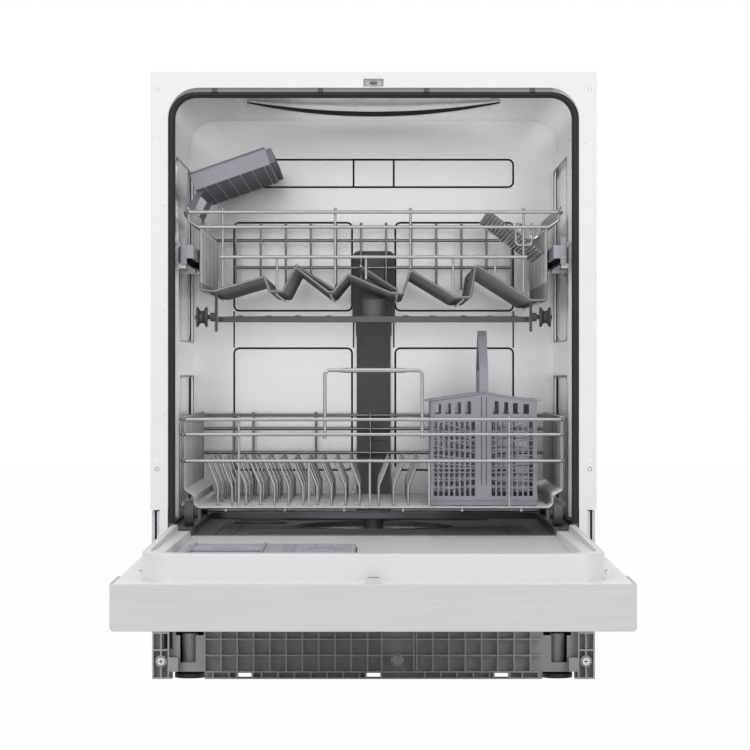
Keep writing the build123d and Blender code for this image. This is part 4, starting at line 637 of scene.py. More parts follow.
class MaterialKit:
    """Makes one material per finish and hands it to pieces and CAD nodes."""

    IOR = 1.48
    COAT_ROUGHNESS = 0.12
    BUMP_STRENGTH = 0.5
    BEVEL_SAMPLES = 4
    EXTRA: dict[Grain, dict[str, float]] = {
        Grain.BRUSHED_X: {"Anisotropic": 0.45}, Grain.FELT: {"Sheen Weight": 0.3}}

    def __init__(self) -> None:
        self.groups = GroupKit()
        self.made: dict[Finish, bpy.types.Material] = {}

    def get(self, finish: Finish) -> bpy.types.Material:
        """The material of a finish, made on first use."""
        if finish not in self.made:
            self.made[finish] = self._make(finish)
        return self.made[finish]

    def _make(self, finish: Finish) -> bpy.types.Material:
        """Builds a material.

        Colour = base x (1 + mottle (2 (slow - 1/2) + (marks - 1/2))), roughness = middle + 2 spread
        (fine - 1/2), height = bump x fine, on a normal that is rounded at the edges where the finish says so.
        """
        material = bpy.data.materials.new(finish.name)
        graph = Graph.fresh(material)
        grain = graph.add("ShaderNodeGroup", node_tree=self.groups.get(finish.grain)).outputs
        mottle = graph.maths("ADD", graph.swing(grain["Slow"], 2.0 * finish.mottle),
                             graph.swing(grain["Marks"], finish.mottle))
        colour = graph.add("ShaderNodeVectorMath", {0: finish.colour, "Scale": graph.maths("ADD", mottle, 1.0)},
                           operation="SCALE")
        rough = graph.maths("ADD", graph.swing(grain["Fine"], 2.0 * finish.spread), finish.roughness)
        relief = {"Strength": self.BUMP_STRENGTH, "Distance": finish.bump / MM_PER_M, "Height": grain["Fine"]}
        if finish.soften > 0:
            bevel = graph.add("ShaderNodeBevel", {"Radius": finish.soften / MM_PER_M}, samples=self.BEVEL_SAMPLES)
            relief["Normal"] = bevel.outputs["Normal"]
        shader = graph.add("ShaderNodeBsdfPrincipled", {
            "Base Color": colour.outputs["Vector"], "Metallic": finish.metallic, "Roughness": rough,
            "Normal": graph.add("ShaderNodeBump", relief).outputs["Normal"], "IOR": self.IOR,
            "Coat Weight": finish.coat, "Coat Roughness": self.COAT_ROUGHNESS,
            **self.EXTRA.get(finish.grain, {})})
        graph.add("ShaderNodeOutputMaterial", {"Surface": shader.outputs["BSDF"]})
        return material


def linked(name: str, data: bpy.types.ID) -> bpy.types.Object:
    """A new object for some data, in the scene."""
    thing = bpy.data.objects.new(name, data)
    bpy.context.scene.collection.objects.link(thing)
    return thing


@dataclass
class Trim:
    """The fine pieces of one sub-assembly; most of them ride on the same body.

    A sub-assembly of the door is written on the closed door, in closed-door millimetres.
    """

    materials: MaterialKit
    body: ClassVar[str] = "cabinet"
    on_door: ClassVar[bool] = False

    def add(self, name: str, slot: str, finish: Finish, shape: Surface | Iterable[Surface],
            body: str | None = None, pair: bool = False, flat: bool = False) -> None:
        """Adds one piece.

        Args:
            name: the piece's name.
            slot: the record's material slot it belongs to; not used.
            finish: its material.
            shape: one surface, or several that make up the piece.
            body: the CAD body it moves with, when that isn't the sub-assembly's own.
            pair: True to add the mirror image across X = 0.
            flat: True for pieces that are all flats.
        """
        surface = shape if isinstance(shape, Surface) else join(shape)
        surface = surface.both() if pair else surface
        points = Place.open_door(surface.points) if self.on_door else Place.row(surface.points)
        mesh = bpy.data.meshes.new(name)
        mesh.from_pydata(points.tolist(), [], surface.faces)
        mesh.update()
        if not flat:
            mesh.polygons.foreach_set("use_smooth", np.ones(len(mesh.polygons), dtype=bool))
            mesh.set_sharp_from_angle(angle=math.radians(SHARP_DEG))
        mesh.materials.append(self.materials.get(finish))
        thing = linked(name, mesh)
        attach(thing, body or self.body)
        LOG.debug("%s: %d faces", name, len(surface.faces))


@dataclass
class TubTrim(Trim):
    """Beads, seams and grooves of the stainless tub and its plastic floor; the black bands in the rear grooves
    and lines, the ceiling's crescent and the dark window steps are painted shade.
    """

    side_beads: tuple[tuple[float, ...], ...] = ((200.0, 486.0, 461.5, 719.0), (240.0, 494.0, 226.0, 409.0))
    bead_r: float = 1.6
    land: float = 6.5
    fold_r: float = 0.9
    window_y: Span = (187.0, 486.0)
    windows_z: tuple[Span, Span] = ((226.0, 411.0), (460.0, 718.0))
    left_top: float = 610.0

    def build(self) -> None:
        """Adds every piece of the tub."""
        self._side_beads()
        self._rear_groove_shade()
        self._floor_seam()
        self._ceiling()
        self._floor_ribs()
        self._guides()
        self._lands()
        self._rear_line_shade()

    def _side_beads(self) -> None:
        """Pressed outlines on the side walls: rounded rectangles in the wall's plane."""
        shapes = []
        for y0, y1, z0, z1 in self.side_beads:
            outline = rounded_rectangle(y1 - y0, z1 - z0, 14.0)
            path = outline_path(outline, 0, Place.TUB_HALF - 0.4, ((y0 + y1) / 2, (z0 + z1) / 2))
            shapes.append(tube(path, self.bead_r, ALONG_X, 10, True).both())
        self.add("tub_side_beads", "tub_shell", TUB_STEEL, shapes)

    def _rear_groove_shade(self) -> None:
        """Painted shade in the rear wall's sunk outlines: one black band for each panel, laid on the wall over
        its groove.
        """
        span, centre, groove = 212.0, 31.5, 2.5
        panels = [(-span, span, 694.5, 738.3, 9.0), (-centre, centre, 694.5, 738.3, 3.0)]
        for low, high in ((507.7, 643.0), (267.0, 453.3)):
            panels += [(-span, -centre, low, high, 9.0), (centre, span, low, high, 9.0)]
        shapes = [rounded_band((x1 - x0, z1 - z0), ((x0 + x1) / 2, (z0 + z1) / 2), (0.4, -2 * groove),
                               (r + 0.2, max(r - groove, 0.6)), Place.TUB_BACK - 0.2, Place.TUB_BACK + 0.3)
                  for x0, x1, z0, z1, r in panels]
        self.add("tub_rear_groove_shade", "tub_shell", BLACK_LINE, shapes, flat=True)

    def _floor_seam(self) -> None:
        """Sealing bead where the steel walls meet the plastic floor."""
        half, back = Place.TUB_HALF - 0.6, Place.TUB_BACK - 0.6
        path = np.array([(-half, 16.0), (-half, back), (half, back), (half, 16.0)])
        points = np.column_stack([path, np.full(4, Place.LEDGE_Z + 0.4)])
        self.add("tub_floor_seam", "tub_floor", BLACK_LINE, tube(points, 1.1, ALONG_Z, 8))

    def _ceiling(self) -> None:
        """Two pressed runs along the ceiling, the arched line of its front bead, and a black crescent that is
        painted shade in the swage's dip.
        """
        z, half, depth = Place.TUB_TOP - 0.3, 178.0, (198.0, 201.0)
        runs = [tube(np.array([(x, 60.0, z), (x, 470.0, z)]), 1.8, ALONG_Z, 10) for x in (-190.0, 190.0)]
        self.add("tub_ceiling_beads", "tub_shell", TUB_STEEL, runs)
        x = np.linspace(-half, half, 49)
        bow = 1.0 - (x / half) ** 2
        low, high = 794.2 - 18.6 * bow, 796.4 - 14.0 * bow
        outline = np.concatenate([np.stack([x, low], axis=1), np.stack([x, high], axis=1)[::-1]])
        # The black crescent under the front bead is painted shade, not a dark part.
        self.add("tub_ceiling_swage_shade", "tub_shell", BLACK_LINE, plate(outline, 1, *depth), flat=True)
        lip = np.stack([x, np.full_like(x, depth[0] + 1.0), low - 0.5], axis=1)
        self.add("tub_ceiling_lip", "tub_shell", TUB_STEEL, tube(lip, 0.8, ALONG_Y, 8))

    def _floor_ribs(self) -> None:
        """Low ribs and drain lines moulded in the tub floor."""
        low, high, half, edge = Place.FLOOR_Z - 0.2, Place.FLOOR_Z + 1.4, 1.5, 0.5
        ribs = [box(x - half, x + half, 30.0, 470.0, low, high, edge) for x in (-214.0, -190.0, 190.0, 214.0)]
        ribs += [box(-170.0, 170.0, y - half, y + half, low, high, edge) for y in (52.0, 90.0, 430.0, 466.0)]
        ribs.append(ring((0.0, Place.ARM_Y, Place.FLOOR_Z), ALONG_Z, 110.0, 2.0, 72, 8))
        ribs.append(ring((-165.0, 350.0, Place.FLOOR_Z), ALONG_Z, 41.0, 1.6, 48, 8))
        self.add("tub_floor_ribs", "tub_floor", DARK_PLASTIC, ribs)

    def _guides(self) -> None:
        """Rivet heads of the runner guides on the side walls."""
        rivet = lathe([(0, 0), (3.2, 0), (3.0, 1.0), (1.8, 1.7), (0, 1.9)], (Place.TUB_HALF - 0.9, 0, 0),
                      TO_MIDDLE, 16)
        spots = [(0, y, z) for y in (58.0, 86.0, 276.0, 304.0) for z in (556.5, 593.5)]
        self.add("guide_rivets", "tub_shell", ZINC_BRIGHT, repeated(rivet, spots), pair=True)

    def _lands(self) -> None:
        """Raised lands round two sunk windows on each side; the left ones stop below the cup shelf's swing. The
        dark step faces and the darker folds round the windows are painted shade.
        """
        x0, x1 = Place.TUB_HALF - self.land, Place.TUB_HALF + 0.1
        front, (y0, y1), back = 150.0, self.window_y, Place.TUB_BACK - 0.2
        (low0, low1), (high0, high1) = self.windows_z
        low, high = low0 - 12.0, high1 + 22.0
        shared = [(y1, back, low, high), (y0, y1, low, low0), (y0, y1, low1, high0)]
        right = join([box(x0, x1, *band) for band in [*shared, (front, y0, low, high), (y0, y1, high1, high)]])
        left = join([box(x0, x1, *band) for band in [*shared, (front, y0, low, self.left_top)]])
        self.add("tub_side_lands", "tub_shell", TUB_STEEL, [right, left.mirrored()], flat=True)
        # Dark plates on the faces of the steps: painted shade.
        steps = [box(x0 + 3.4, x1 - 0.2, y1 - 0.6, y1 + 0.2, za + 1.0, zb - 1.0) for za, zb in self.windows_z]
        steps.append(box(x0 + 2.0, x1 - 0.2, y0 + 1.0, y1 - 1.0, low1 - 0.6, low1 + 0.2))
        self.add("tub_window_step_shade", "tub_shell", SHADOW_GREY, steps, pair=True, flat=True)
        folds = []
        for za, zb in self.windows_z:
            outline = rounded_rectangle(y1 - y0, zb - za, 9.0)
            path = outline_path(outline, 0, x0, ((y0 + y1) / 2, (za + zb) / 2))
            folds.append(tube(path, self.fold_r, ALONG_X, 8, True))
        half_open = np.array([(x0, y0, self.left_top), (x0, y0, high0), (x0, y1, high0), (x0, y1, high1)])
        folds += [folds[0].mirrored(), tube(half_open, self.fold_r, ALONG_X, 8).mirrored()]
        # The folds take the darker steel: painted shade along the window outlines.
        self.add("tub_window_folds", "tub_shell", FOLD_SHADE_STEEL, folds)

    def _rear_line_shade(self) -> None:
        """Painted shade of the thin pressed lines that join the sunk outlines of the rear wall: black strips laid
        on the wall.
        """
        y0, y1 = Place.TUB_BACK - 0.35, Place.TUB_BACK + 0.1
        lines = [box(x - 1.1, x + 1.1, y0, y1, 453.0, 508.0) for x in (30.4, 210.9)]
        self.add("tub_rear_line_shade", "tub_shell", BLACK_LINE, lines, pair=True, flat=True)


@dataclass
class SealTrim(Trim):
    """Lips of the rubber seal round the mouth.

    Attributes:
        low: height of the lips' lower ends.
        lips: for each lip its width, its top, the radius of its corners, its depth and its own radius.
    """

    low: float = 214.0
    lips: tuple[tuple[float, ...], ...] = (
        (540.4, 788.0, 32.0, 2.9, 1.5), (547.0, 790.0, 34.0, 2.7, 0.9),
        (535.2, 785.2, 29.6, 8.0, 1.2), (535.2, 785.2, 29.6, 12.0, 1.2))

    def build(self) -> None:
        """Adds the seal's lips: beads that follow the arch of the mouth at rising depth."""
        lips = [tube(arch_path(width, self.low, top, corner, y), r, ALONG_Y, 8)
                for width, top, corner, y, r in self.lips]
        self.add("seal_lips", "door_seal", SEAL_RUBBER, lips)


@dataclass
class FrameTrim(Trim):
    """Marks, rivets, tabs and inner fold of the white front frame, and the small fittings above the mouth."""

    def build(self) -> None:
        """Adds every piece of the front frame."""
        plugs = [lathe([(0, 0), (1.9, 0), (1.9, 0.5), (0, 0.5)], (290.0, 0.9, z), TO_FRONT, 20)
                 for z in (794.2, 285.4)]
        dots = [lathe([(0, 0), (1.6, 0), (1.6, 0.25), (0, 0.3)], (290.4, 0.15, z), TO_FRONT, 12)
                for z in (722.8, 298.5)]
        self.add("frame_marks", "front_frame", MARK_WHITE, plugs + dots, pair=True)
        rivets = [lathe([(0, 0), (2.0, 0), (1.8, 0.5), (0, 0.6)], (281.5, 0.1, z), TO_FRONT, 12)
                  for z in (760.0, 640.0, 500.0, 360.0)]
        self.add("frame_rivets", "front_frame", WHITE_PAINT, rivets, pair=True)
        tabs = [box(297.0, 298.9, -0.5, 0.1, z0, z1, 0.2) for z0, z1 in ((742.0, 746.5), (796.0, 801.0))]
        self.add("frame_tabs", "front_frame", WHITE_PAINT, tabs, pair=True)
        edge = tube(arch_path(552.4, 232.0, 797.4, 41.0, 0.5), 0.7, ALONG_Y, 8)
        self.add("frame_inner_fold", "front_frame", WHITE_PAINT, edge)
        clips = [box(x - 3.6, x + 3.6, -0.2, 1.4, 791.0, 796.6, 0.4) for x in (-213.15, -71.05, 71.05, 213.15)]
        self.add("strip_clips", "frame_fittings", DARK_PLASTIC, clips)
        half, notch, (low, sill, lintel, high) = 13.1, 4.6, (798.8, 802.6, 805.4, 809.4)
        striker = [box(x0, x1, 5.2, 6.0, z0, z1) for x0, x1, z0, z1 in (
            (-half, half, low, sill), (-half, half, lintel, high), (-half, -notch, sill, lintel),
            (notch, half, sill, lintel))]
        self.add("striker_cover", "frame_fittings", PALE_PLASTIC, striker, flat=True)


def wire_tips(spots: Sequence[Sequence[float]], radius: float) -> Surface:
    """Round coated ends for many wires, all from one small ball."""
    return repeated(ball(radius), spots)


@dataclass
class UpperBasketTrim(Trim):
    """Wire tips, screws, ribs, lever faces, roller spokes, shelf slats and rack wires of the upper basket."""

    body: ClassVar[str] = "upper_basket"
    first_y: float = 43.98
    pitch: float = 36.0
    count: int = 12
    rim_z: float = 636.4
    side_tip: Span = (252.5, 638.4)
    tines: tuple[tuple[str, Span], ...] = (("left", (-57.0, 530.5)), ("right", (31.0, 529.5)))
    tine_turn: float = math.radians(147.0)
    tine_reach: float = 58.0
    rollers: tuple[tuple[str, float], ...] = (("front", 267.0), ("rear", 432.0))
    roller_z: float = 575.0
    shelf_corner: Vector = (-242.0, 0.0, 662.0)
    shelf_turn: float = math.radians(19.2)
    shelf_lines: tuple[float, ...] = (14.0, 31.0, 48.0, 65.0, 82.0, 99.0)
    rack_foot: Span = (228.8, 578.0)
    rack_turn: float = math.radians(143.0)

    def rows(self) -> Array:
        """Depth of each floor wire."""
        return self.first_y + self.pitch * np.arange(self.count)

    def build(self) -> None:
        """Adds every piece of the upper basket."""
        rows, (side_x, side_z) = self.rows(), self.side_tip
        spots = [(x, self.first_y, self.rim_z) for x in (-204.5, -52.0, 50.1, 203.3)]
        spots += [(-205.2 + 37.3 * i, rows[-1], self.rim_z) for i in range(12)]
        spots += [(s * side_x, y, side_z) for s in (-1, 1) for y in rows]
        self.add("upper_wire_tips", "upper_frame", COATED_WIRE, wire_tips(spots, 2.3))
        across, up = self.tine_reach * math.cos(self.tine_turn), self.tine_reach * math.sin(self.tine_turn)
        for side, (x, z) in self.tines:
            tips = [(x + across, self.first_y + self.pitch * (i + 1.5), z + up) for i in range(9)]
            self.add(f"tine_tips_{side}", f"tines_{side}", COATED_WIRE,
                     wire_tips(tips, 2.4), body=f"tines_{side}")
        self._housings()
        self._levers()
        self._rollers()
        self._shelf()
        self._rack()

    def _housings(self) -> None:
        """Screws and ribs on the carriers at the basket's sides."""
        screw = lathe([(0, 0), (3.4, 0), (3.2, 1.2), (1.6, 1.7), (0, 1.2)], ORIGIN, TO_MIDDLE, 16)
        spots = [(236.1, y, z) for y in (168.0, 300.0, 372.0) for z in (552.0, 594.0)]
        self.add("carrier_screws", "side_housings", MID_PLASTIC, repeated(screw, spots), pair=True)
        ribs = [box(240.0, 241.4, y - 1.2, y + 1.2, 546.0, 600.0, 0.3) for y in np.arange(226.0, 432.0, 22.0)
                if all(abs(y - hub) > 12.0 for _, hub in self.rollers)]
        ribs.append(box(240.0, 241.4, 158.0, 436.0, 590.0, 592.0, 0.3))
        self.add("carrier_ribs", "side_housings", DARK_PLASTIC, ribs, pair=True)

    def _levers(self) -> None:
        """Pale raised faces and finger lines of the height levers."""
        faces = [box(254.6, 260.8, 38.9, 40.1, 563.0, 596.0, 0.5)]
        faces += [box(255.2, 260.2, 38.3, 39.2, z - 0.8, z + 0.8, 0.2) for z in np.arange(569.0, 590.0, 5.0)]
        self.add("lever_faces", "height_levers", VIOLET_PALE, faces, body="height_levers", pair=True)
        cap = lathe([(0, 0), (4.5, 0), (4.5, 1.2), (3.0, 1.8), (0, 1.8)], (249.1, 200.0, 578.0), ALONG_X, 20)
        self.add("lever_caps", "height_levers", MID_PLASTIC, cap, body="height_levers", pair=True)

    def _rollers(self) -> None:
        """Spokes moulded in the faces of the rollers."""
        spoke = box(256.65, 257.15, -0.5, 0.5, 3.6, 7.4)
        for name, y in self.rollers:
            hub = ring((257.0, y, self.roller_z), ALONG_X, 7.6, 0.45, 28, 6)
            spokes = [turned(spoke, (1, 2), math.pi / 3 * k, (0.0, y, self.roller_z)) for k in range(6)]
            self.add(f"roller_faces_{name}", f"rollers_{name}", MID_PLASTIC,
                     [hub, *spokes], body=f"rollers_{name}", pair=True)

    def _shelf(self) -> None:
        """Ribs under the tilted cup shelf, written level from its corner and then turned with it."""
        cross = [box(2.0, 106.0, y - 0.8, y + 0.8, -1.0, 0.2) for y in np.arange(47.5, 410.0, 10.0)]
        cross.append(box(0.4, 107.6, 43.3, 44.2, 22.0, 24.6, 0.3))
        pale = [box(x - 0.5, x + 0.5, 46.0, 410.0, -1.8, 0.2) for x in self.shelf_lines]
        pale += [box(x - 0.35, x + 0.35, 43.2, 44.1, -1.0, 22.0) for x in self.shelf_lines]
        fins = [box(107.8, 116.0, y - 0.9, y + 0.9, 1.0, 21.0, 0.3) for y in np.arange(46.0, 412.0, 9.0)]
        for name, finish, shapes in (("shelf_slats", MID_PLASTIC, cross), ("shelf_lines", VIOLET_PALE, pale),
                                     ("shelf_fins", MID_PLASTIC, fins)):
            tilted = turned(join(shapes), (0, 2), self.shelf_turn, self.shelf_corner)
            self.add(name, "cup_shelf", finish, tilted, body="cup_shelf", flat=True)

    def _rack(self) -> None:
        """Close wires under the folding rack, one every 5 mm up its slope, and the small loops beside it."""
        (x, z), turn = self.rack_foot, self.rack_turn
        wires = [tube(np.array([(x + u * math.cos(turn), y, z + u * math.sin(turn)) for y in (62.0, 402.0)]),
                      0.8, ALONG_X, 8) for u in np.arange(3.0, 92.0, 5.0)]
        self.add("rack_wires", "wire_rack", ZINC_BRIGHT, wires, body="wire_rack")
        loops = [ring(middle, ALONG_Y, radius, 1.3, 28, 8)
                 for middle, radius in (((217.0, 46.5, 603.0), 6.0), ((196.0, 49.5, 612.0), 5.5))]
        self.add("rack_loops", "upper_frame", COATED_WIRE, loops)


@dataclass
class SprayTrim(Trim):
    """Black painted shade in the nozzle mouths, ribs and hubs of the two spray arms, and bands of the feed.

    Attributes:
        arms: for each arm its name, its height and half its length.
        nozzles: places of the nozzles along an arm.
    """

    body: ClassVar[str] = "upper_basket"
    arms: tuple[tuple[str, float, float], ...] = (
        ("upper_spray_arm", 487.0, 222.0), ("lower_spray_arm", 208.0, 218.0))
    nozzles: tuple[float, ...] = (-190.0, -150.0, -108.0, -64.0, 46.0, 84.0, 128.0, 166.0, 200.0)

    def build(self) -> None:
        """Adds the pieces of both arms."""
        middle = Place.ARM_Y
        for name, z, half in self.arms:
            mouth_shades, ridges = [], []
            for i, x in enumerate(self.nozzles):
                y = middle + (4 if i % 2 else -4)
                # A black flat in each nozzle: painted shade inside the mouth.
                mouth_shades.append(box(x - 2.4, x + 2.4, y - 0.7, y + 0.7, z + 9.5, z + 9.9))
                ridges.append(ring((x, y, z + 8.2), ALONG_Z, 5.2, 0.5, 20, 6))
            for side in (-1, 1):
                x0, x1 = sorted((side * 30.0, side * (half - 16.0)))
                ridges.append(box(x0, x1, middle - 0.7, middle + 0.7, z + 7.8, z + 8.7, 0.2))
            ridges.append(ring((0.0, middle, z + 9.0), ALONG_Z, 17.0, 0.8, 40, 8))
            self.add(f"{name}_mouths", name, BLACK_LINE, mouth_shades, body=name, flat=True)
            self.add(f"{name}_ridges", name, ARM_PLASTIC, ridges, body=name)
        bands = [ring((0.0, y, 508.1), ALONG_Y, 8.7, 0.7, 32, 8) for y in (290.0, 330.0, 370.0, 410.0)]
        bands.append(ring((0.0, middle, 519.0), ALONG_Z, 15.6, 0.9, 40, 8))
        self.add("feed_bands", "feed_tube", DUCT_PLASTIC, bands)


@dataclass
class LowerBasketTrim(Trim):
    """Wire tips, wheel caps and the grip sleeve of the lower basket, and the trims of the cutlery basket."""

    body: ClassVar[str] = "lower_basket"
    first_y: float = 43.98
    pitch: float = 36.0
    count: int = 13
    tip_z: float = 354.4
    tine_z: float = 294.0
    side_x: float = 256.0
    wheels: tuple[tuple[str, float], ...] = (("front", 85.0), ("rear", 430.0))
    wheel_z: float = 222.3
    cutlery_x: Span = (77.9, 222.5)
    cutlery_y: Span = (60.0, 210.0)
    post_x: float = 150.2
    lid_slope: float = 10.0 / 72.3

    def build(self) -> None:
        """Adds every piece of the lower basket."""
        rows = self.first_y + self.pitch * np.arange(self.count)
        spots = [(x, rows[0], self.tip_z) for x in (-182.6, 184.1)]
        spots += [(x, rows[-1], self.tip_z) for x in (-210.0, -180.5, -86.5, -4.8, 86.5, 180.5, 210.0)]
        spots += [(s * self.side_x, y, self.tip_z) for s in (-1, 1) for y in rows]
        for y in rows[1:11:3]:
            spots += [(-213.0 + 19.4 * i - 14.0, y, self.tine_z) for i in range(11)]
            spots += [(7.0 + 20.3 * i + 14.0, y, self.tine_z) for i in range(3)]
        self.add("lower_wire_tips", "lower_frame", COATED_WIRE, wire_tips(spots, 2.3))
        sleeve = tube(np.array([(-44.0, 44.48, 418.0), (44.0, 44.48, 418.0)]), 3.4, ALONG_Y, 14)
        self.add("handle_sleeve", "lower_frame", COATED_WIRE, sleeve)
        for name, y in self.wheels:
            cap = lathe([(0, 0), (5.6, 0), (5.2, 0.6), (3.0, 0.9), (0, 0.9)], (258.2, y, self.wheel_z),
                        ALONG_X, 20)
            rims = [ring((x, y, self.wheel_z), ALONG_X, 11.5, 0.3, 36, 6) for x in (257.95, 246.45)]
            self.add(f"wheel_caps_{name}", f"wheels_{name}", ARM_PLASTIC,
                     [cap, *rims], body=f"wheels_{name}", pair=True)
        self._cutlery()

    def _cutlery(self) -> None:
        """Bands, slanted bars, post lines and lid ribs of the cutlery basket."""
        (x0, x1), (y0, y1) = self.cutlery_x, self.cutlery_y
        outer, inner = (np.array([(x0 - g, y0 - g), (x1 + g, y0 - g), (x1 + g, y1 + g), (x0 - g, y1 + g)])
                        for g in (0.7, -0.2))
        bands = [flat_ring(outer, inner, 2, z - 2.0, z + 2.0) for z in (352.6, 242.8)]
        self.add("cutlery_bands", "cutlery_basket", VIOLET_PLASTIC, bands, body="cutlery_basket", flat=True)
        slants = []
        for k in range(9):
            z, fall = 258.0 + 10.4 * k, 1.6 * (k - 2)
            for xa, xb in ((82.0, 141.0), (218.4, 159.4)):
                slants.append(tube(np.array([(xa, 60.1, z + fall), (xb, 60.1, z - fall)]), 0.85, ALONG_Y, 6))
        self.add("cutlery_slants", "cutlery_basket", VIOLET_PLASTIC, slants, body="cutlery_basket")
        marks = [box(self.post_x + d - 0.5, self.post_x + d + 0.5, 59.6, 60.2, 262.0, 382.0) for d in (-3.4, 3.4)]
        self.add("cutlery_post_lines", "cutlery_basket", DARK_PLASTIC, marks, body="cutlery_basket", flat=True)
        for side, name in ((-1, "left"), (1, "right")):
            spots = [(self.post_x + side * u, 388.7 - self.lid_slope * u) for u in (16.0, 70.0)]
            shapes = [box(x - 1.2, x + 1.2, ya, yb, z - 0.6, z + 0.8, 0.3) for x, z in spots
                      for ya, yb in ((62.0, 112.0), (158.0, 208.0))]
            self.add(f"lid_ribs_{name}", f"cutlery_lid_{name}", VIOLET_PLASTIC,
                     shapes, body=f"cutlery_lid_{name}")


@dataclass
class DoorTrim(Trim):
    """Edge rolls, screws, seams and plugs of the door, the trims of its fascia and of its latch.

    Attributes:
        button_x: places of the four buttons across the fascia.
        button_z: height of the buttons and of the display.
        window: middle of the display's window.
        grip: middle of the grip pocket.
        latch: middle of the latch's mouth.
        screw_x: place of the liner's screws across the door.
    """

    body: ClassVar[str] = "door"
    on_door: ClassVar[bool] = True
    button_x: tuple[float, ...] = (-258.0, -196.0, 214.0, 258.0)
    button_z: float = 776.0
    window: Span = (136.0, 776.0)
    grip: Span = (0.0, 723.0)
    latch: Span = (0.0, 804.0)
    screw_x: float = 278.0

    def build(self) -> None:
        """Adds every piece of the door."""
        self._liner()
        self._skin()
        self._fascia()
        self._latch()

    def _liner(self) -> None:
        """Rolled crown and foot of the liner's rim and the screws along the sides."""
        crown = tube(arch_path(529.6, 250.0, 782.1, 38.6, Place.RIM_Y - 1.2), 1.5, ALONG_Y, 12)
        foot = tube(arch_path(533.6, 205.0, 784.1, 40.6, -1.6), 0.8, ALONG_Y, 8)
        self.add("rim_crown", "door_liner", LINER_STEEL, [crown, foot])
        screw = lathe([(0, 0), (3.8, 0), (3.6, 1.1), (1.8, 1.8), (0, 1.2)], ORIGIN, ALONG_Y, 18)
        spots = [(self.screw_x, Place.DOOR_IN_Y, z) for z in (230.0, 330.0, 430.0, 530.0, 630.0)]
        self.add("liner_screws", "door_liner", ZINC_BRIGHT, repeated(screw, spots), pair=True)
        # Black marks on the screw heads: painted shade in their slots.
        slots = [box(x - 0.5, x + 0.5, -0.3, -0.05, z - 2.6, z + 2.6) for x, _, z in spots]
        self.add("liner_screw_slot_shade", "door_liner", BLACK_LINE, slots, pair=True, flat=True)

    def _skin(self) -> None:
        """Plugs, hole rings, pressed line, side fills and pads of the outer pan."""
        plugs = [lathe([(0, 0), (5.0, 0), (4.6, 0.7), (0, 0.9)], (x, Place.SKIN_Y, 214.0), TO_FRONT, 24)
                 for x in (120.0, 200.0)]
        self.add("skin_plugs", "door_skin", FEET_BLACK, plugs, pair=True)
        rings = [ring((268.0, Place.SKIN_Y + 0.1, z), ALONG_Y, 4.6, 0.5, 28, 6) for z in (230.0, 630.0)]
        self.add("skin_hole_rings", "door_skin", SKIN_PAINT, rings, pair=True)
        outline = rounded_rectangle(500.0, 420.0, 24.0, 8)
        path = outline_path(outline, 1, Place.SKIN_Y + 0.5, (0.0, 430.0))
        self.add("skin_bead", "door_skin", SKIN_PAINT, tube(path, 1.2, ALONG_Y, 8, True))
        fill = box(295.7, 297.9, Place.DOOR_IN_Y - 5.8, Place.DOOR_IN_Y - 0.4, 699.6, 811.4, 0.3)
        self.add("skin_side_fills", "door_skin", LINER_STEEL, fill, pair=True)
        pad = box(286.0, 294.0, Place.SKIN_Y - 0.6, Place.SKIN_Y + 0.2, 150.0, 168.0, 0.3)
        self.add("skin_pads", "door_skin", FEET_BLACK, pad, pair=True)

    def _fascia(self) -> None:
        """Rings and lamps of the buttons, bezel and bars of the display, lip and teeth of the grip."""
        front, level = Place.FASCIA_Y, self.button_z
        rings = [ring((x, front + 0.1, level), ALONG_Y, 8.4, 0.5, 36, 8) for x in self.button_x]
        self.add("button_rings", "fascia_shell", BUTTON_METAL, rings)
        bezel = rounded_band((79.4, 27.4), self.window, (2.2, 0.0), (1.4, 1.0), front - 0.35, front + 0.2)
        self.add("window_bezel", "display_window", FEET_BLACK, bezel)
        y0, y1, reach = front + 0.02, front + 0.16, 5.5
        bars = []
        for k, x in enumerate((116.0, 128.0, 144.0, 156.0)):
            rows = (level - 6.0, level, level + 6.0) if k % 2 else (level - 6.0, level + 6.0)
            bars += [box(x - 2.6, x + 2.6, y0, y1, z - 0.4, z + 0.4) for z in rows]
            bars += [box(x + dx - 0.4, x + dx + 0.4, y0, y1, level - reach, level + reach) for dx in (-3.2, 3.2)]
        self.add("display_bars", "display_window", MID_PLASTIC, bars, flat=True)
        lamps = [lathe([(0, 0), (1.4, 0), (1.1, 0.5), (0, 0.6)], (x, front + 0.2, level - 14.0), TO_FRONT, 14)
                 for x in self.button_x]
        self.add("button_lamps", "fascia_shell", PALE_PLASTIC, lamps)
        lip = rounded_band((216.0, 38.0), self.grip, (3.0, 0.0), (3.0, 2.0), front + 0.9, front + 2.0)
        self.add("grip_lip", "grip_pocket", FEET_BLACK, lip)
        teeth = [box(x - 0.7, x + 0.7, front + 8.0, front + 26.0, 743.2, 744.2)
                 for x in np.arange(-96.0, 97.0, 8.0)]
        self.add("grip_teeth", "grip_pocket", FEET_BLACK, teeth, flat=True)

    def _latch(self) -> None:
        """Mouth and rivets of the latch nose."""
        shapes = [ring((x, -12.0, 811.0), ALONG_Z, 2.6, 0.4, 20, 6) for x in (-22.0, 22.0)]
        self.add("latch_rivets", "door_latch", ZINC_BRIGHT, shapes)
        mouth = flat_ring(rounded_rectangle(13.0, 7.4, 1.0) + self.latch,
                          rounded_rectangle(11.0, 6.0, 0.8) + self.latch, 1, 4.3, 4.8)
        self.add("latch_mouth", "door_latch", MID_PLASTIC, mouth)


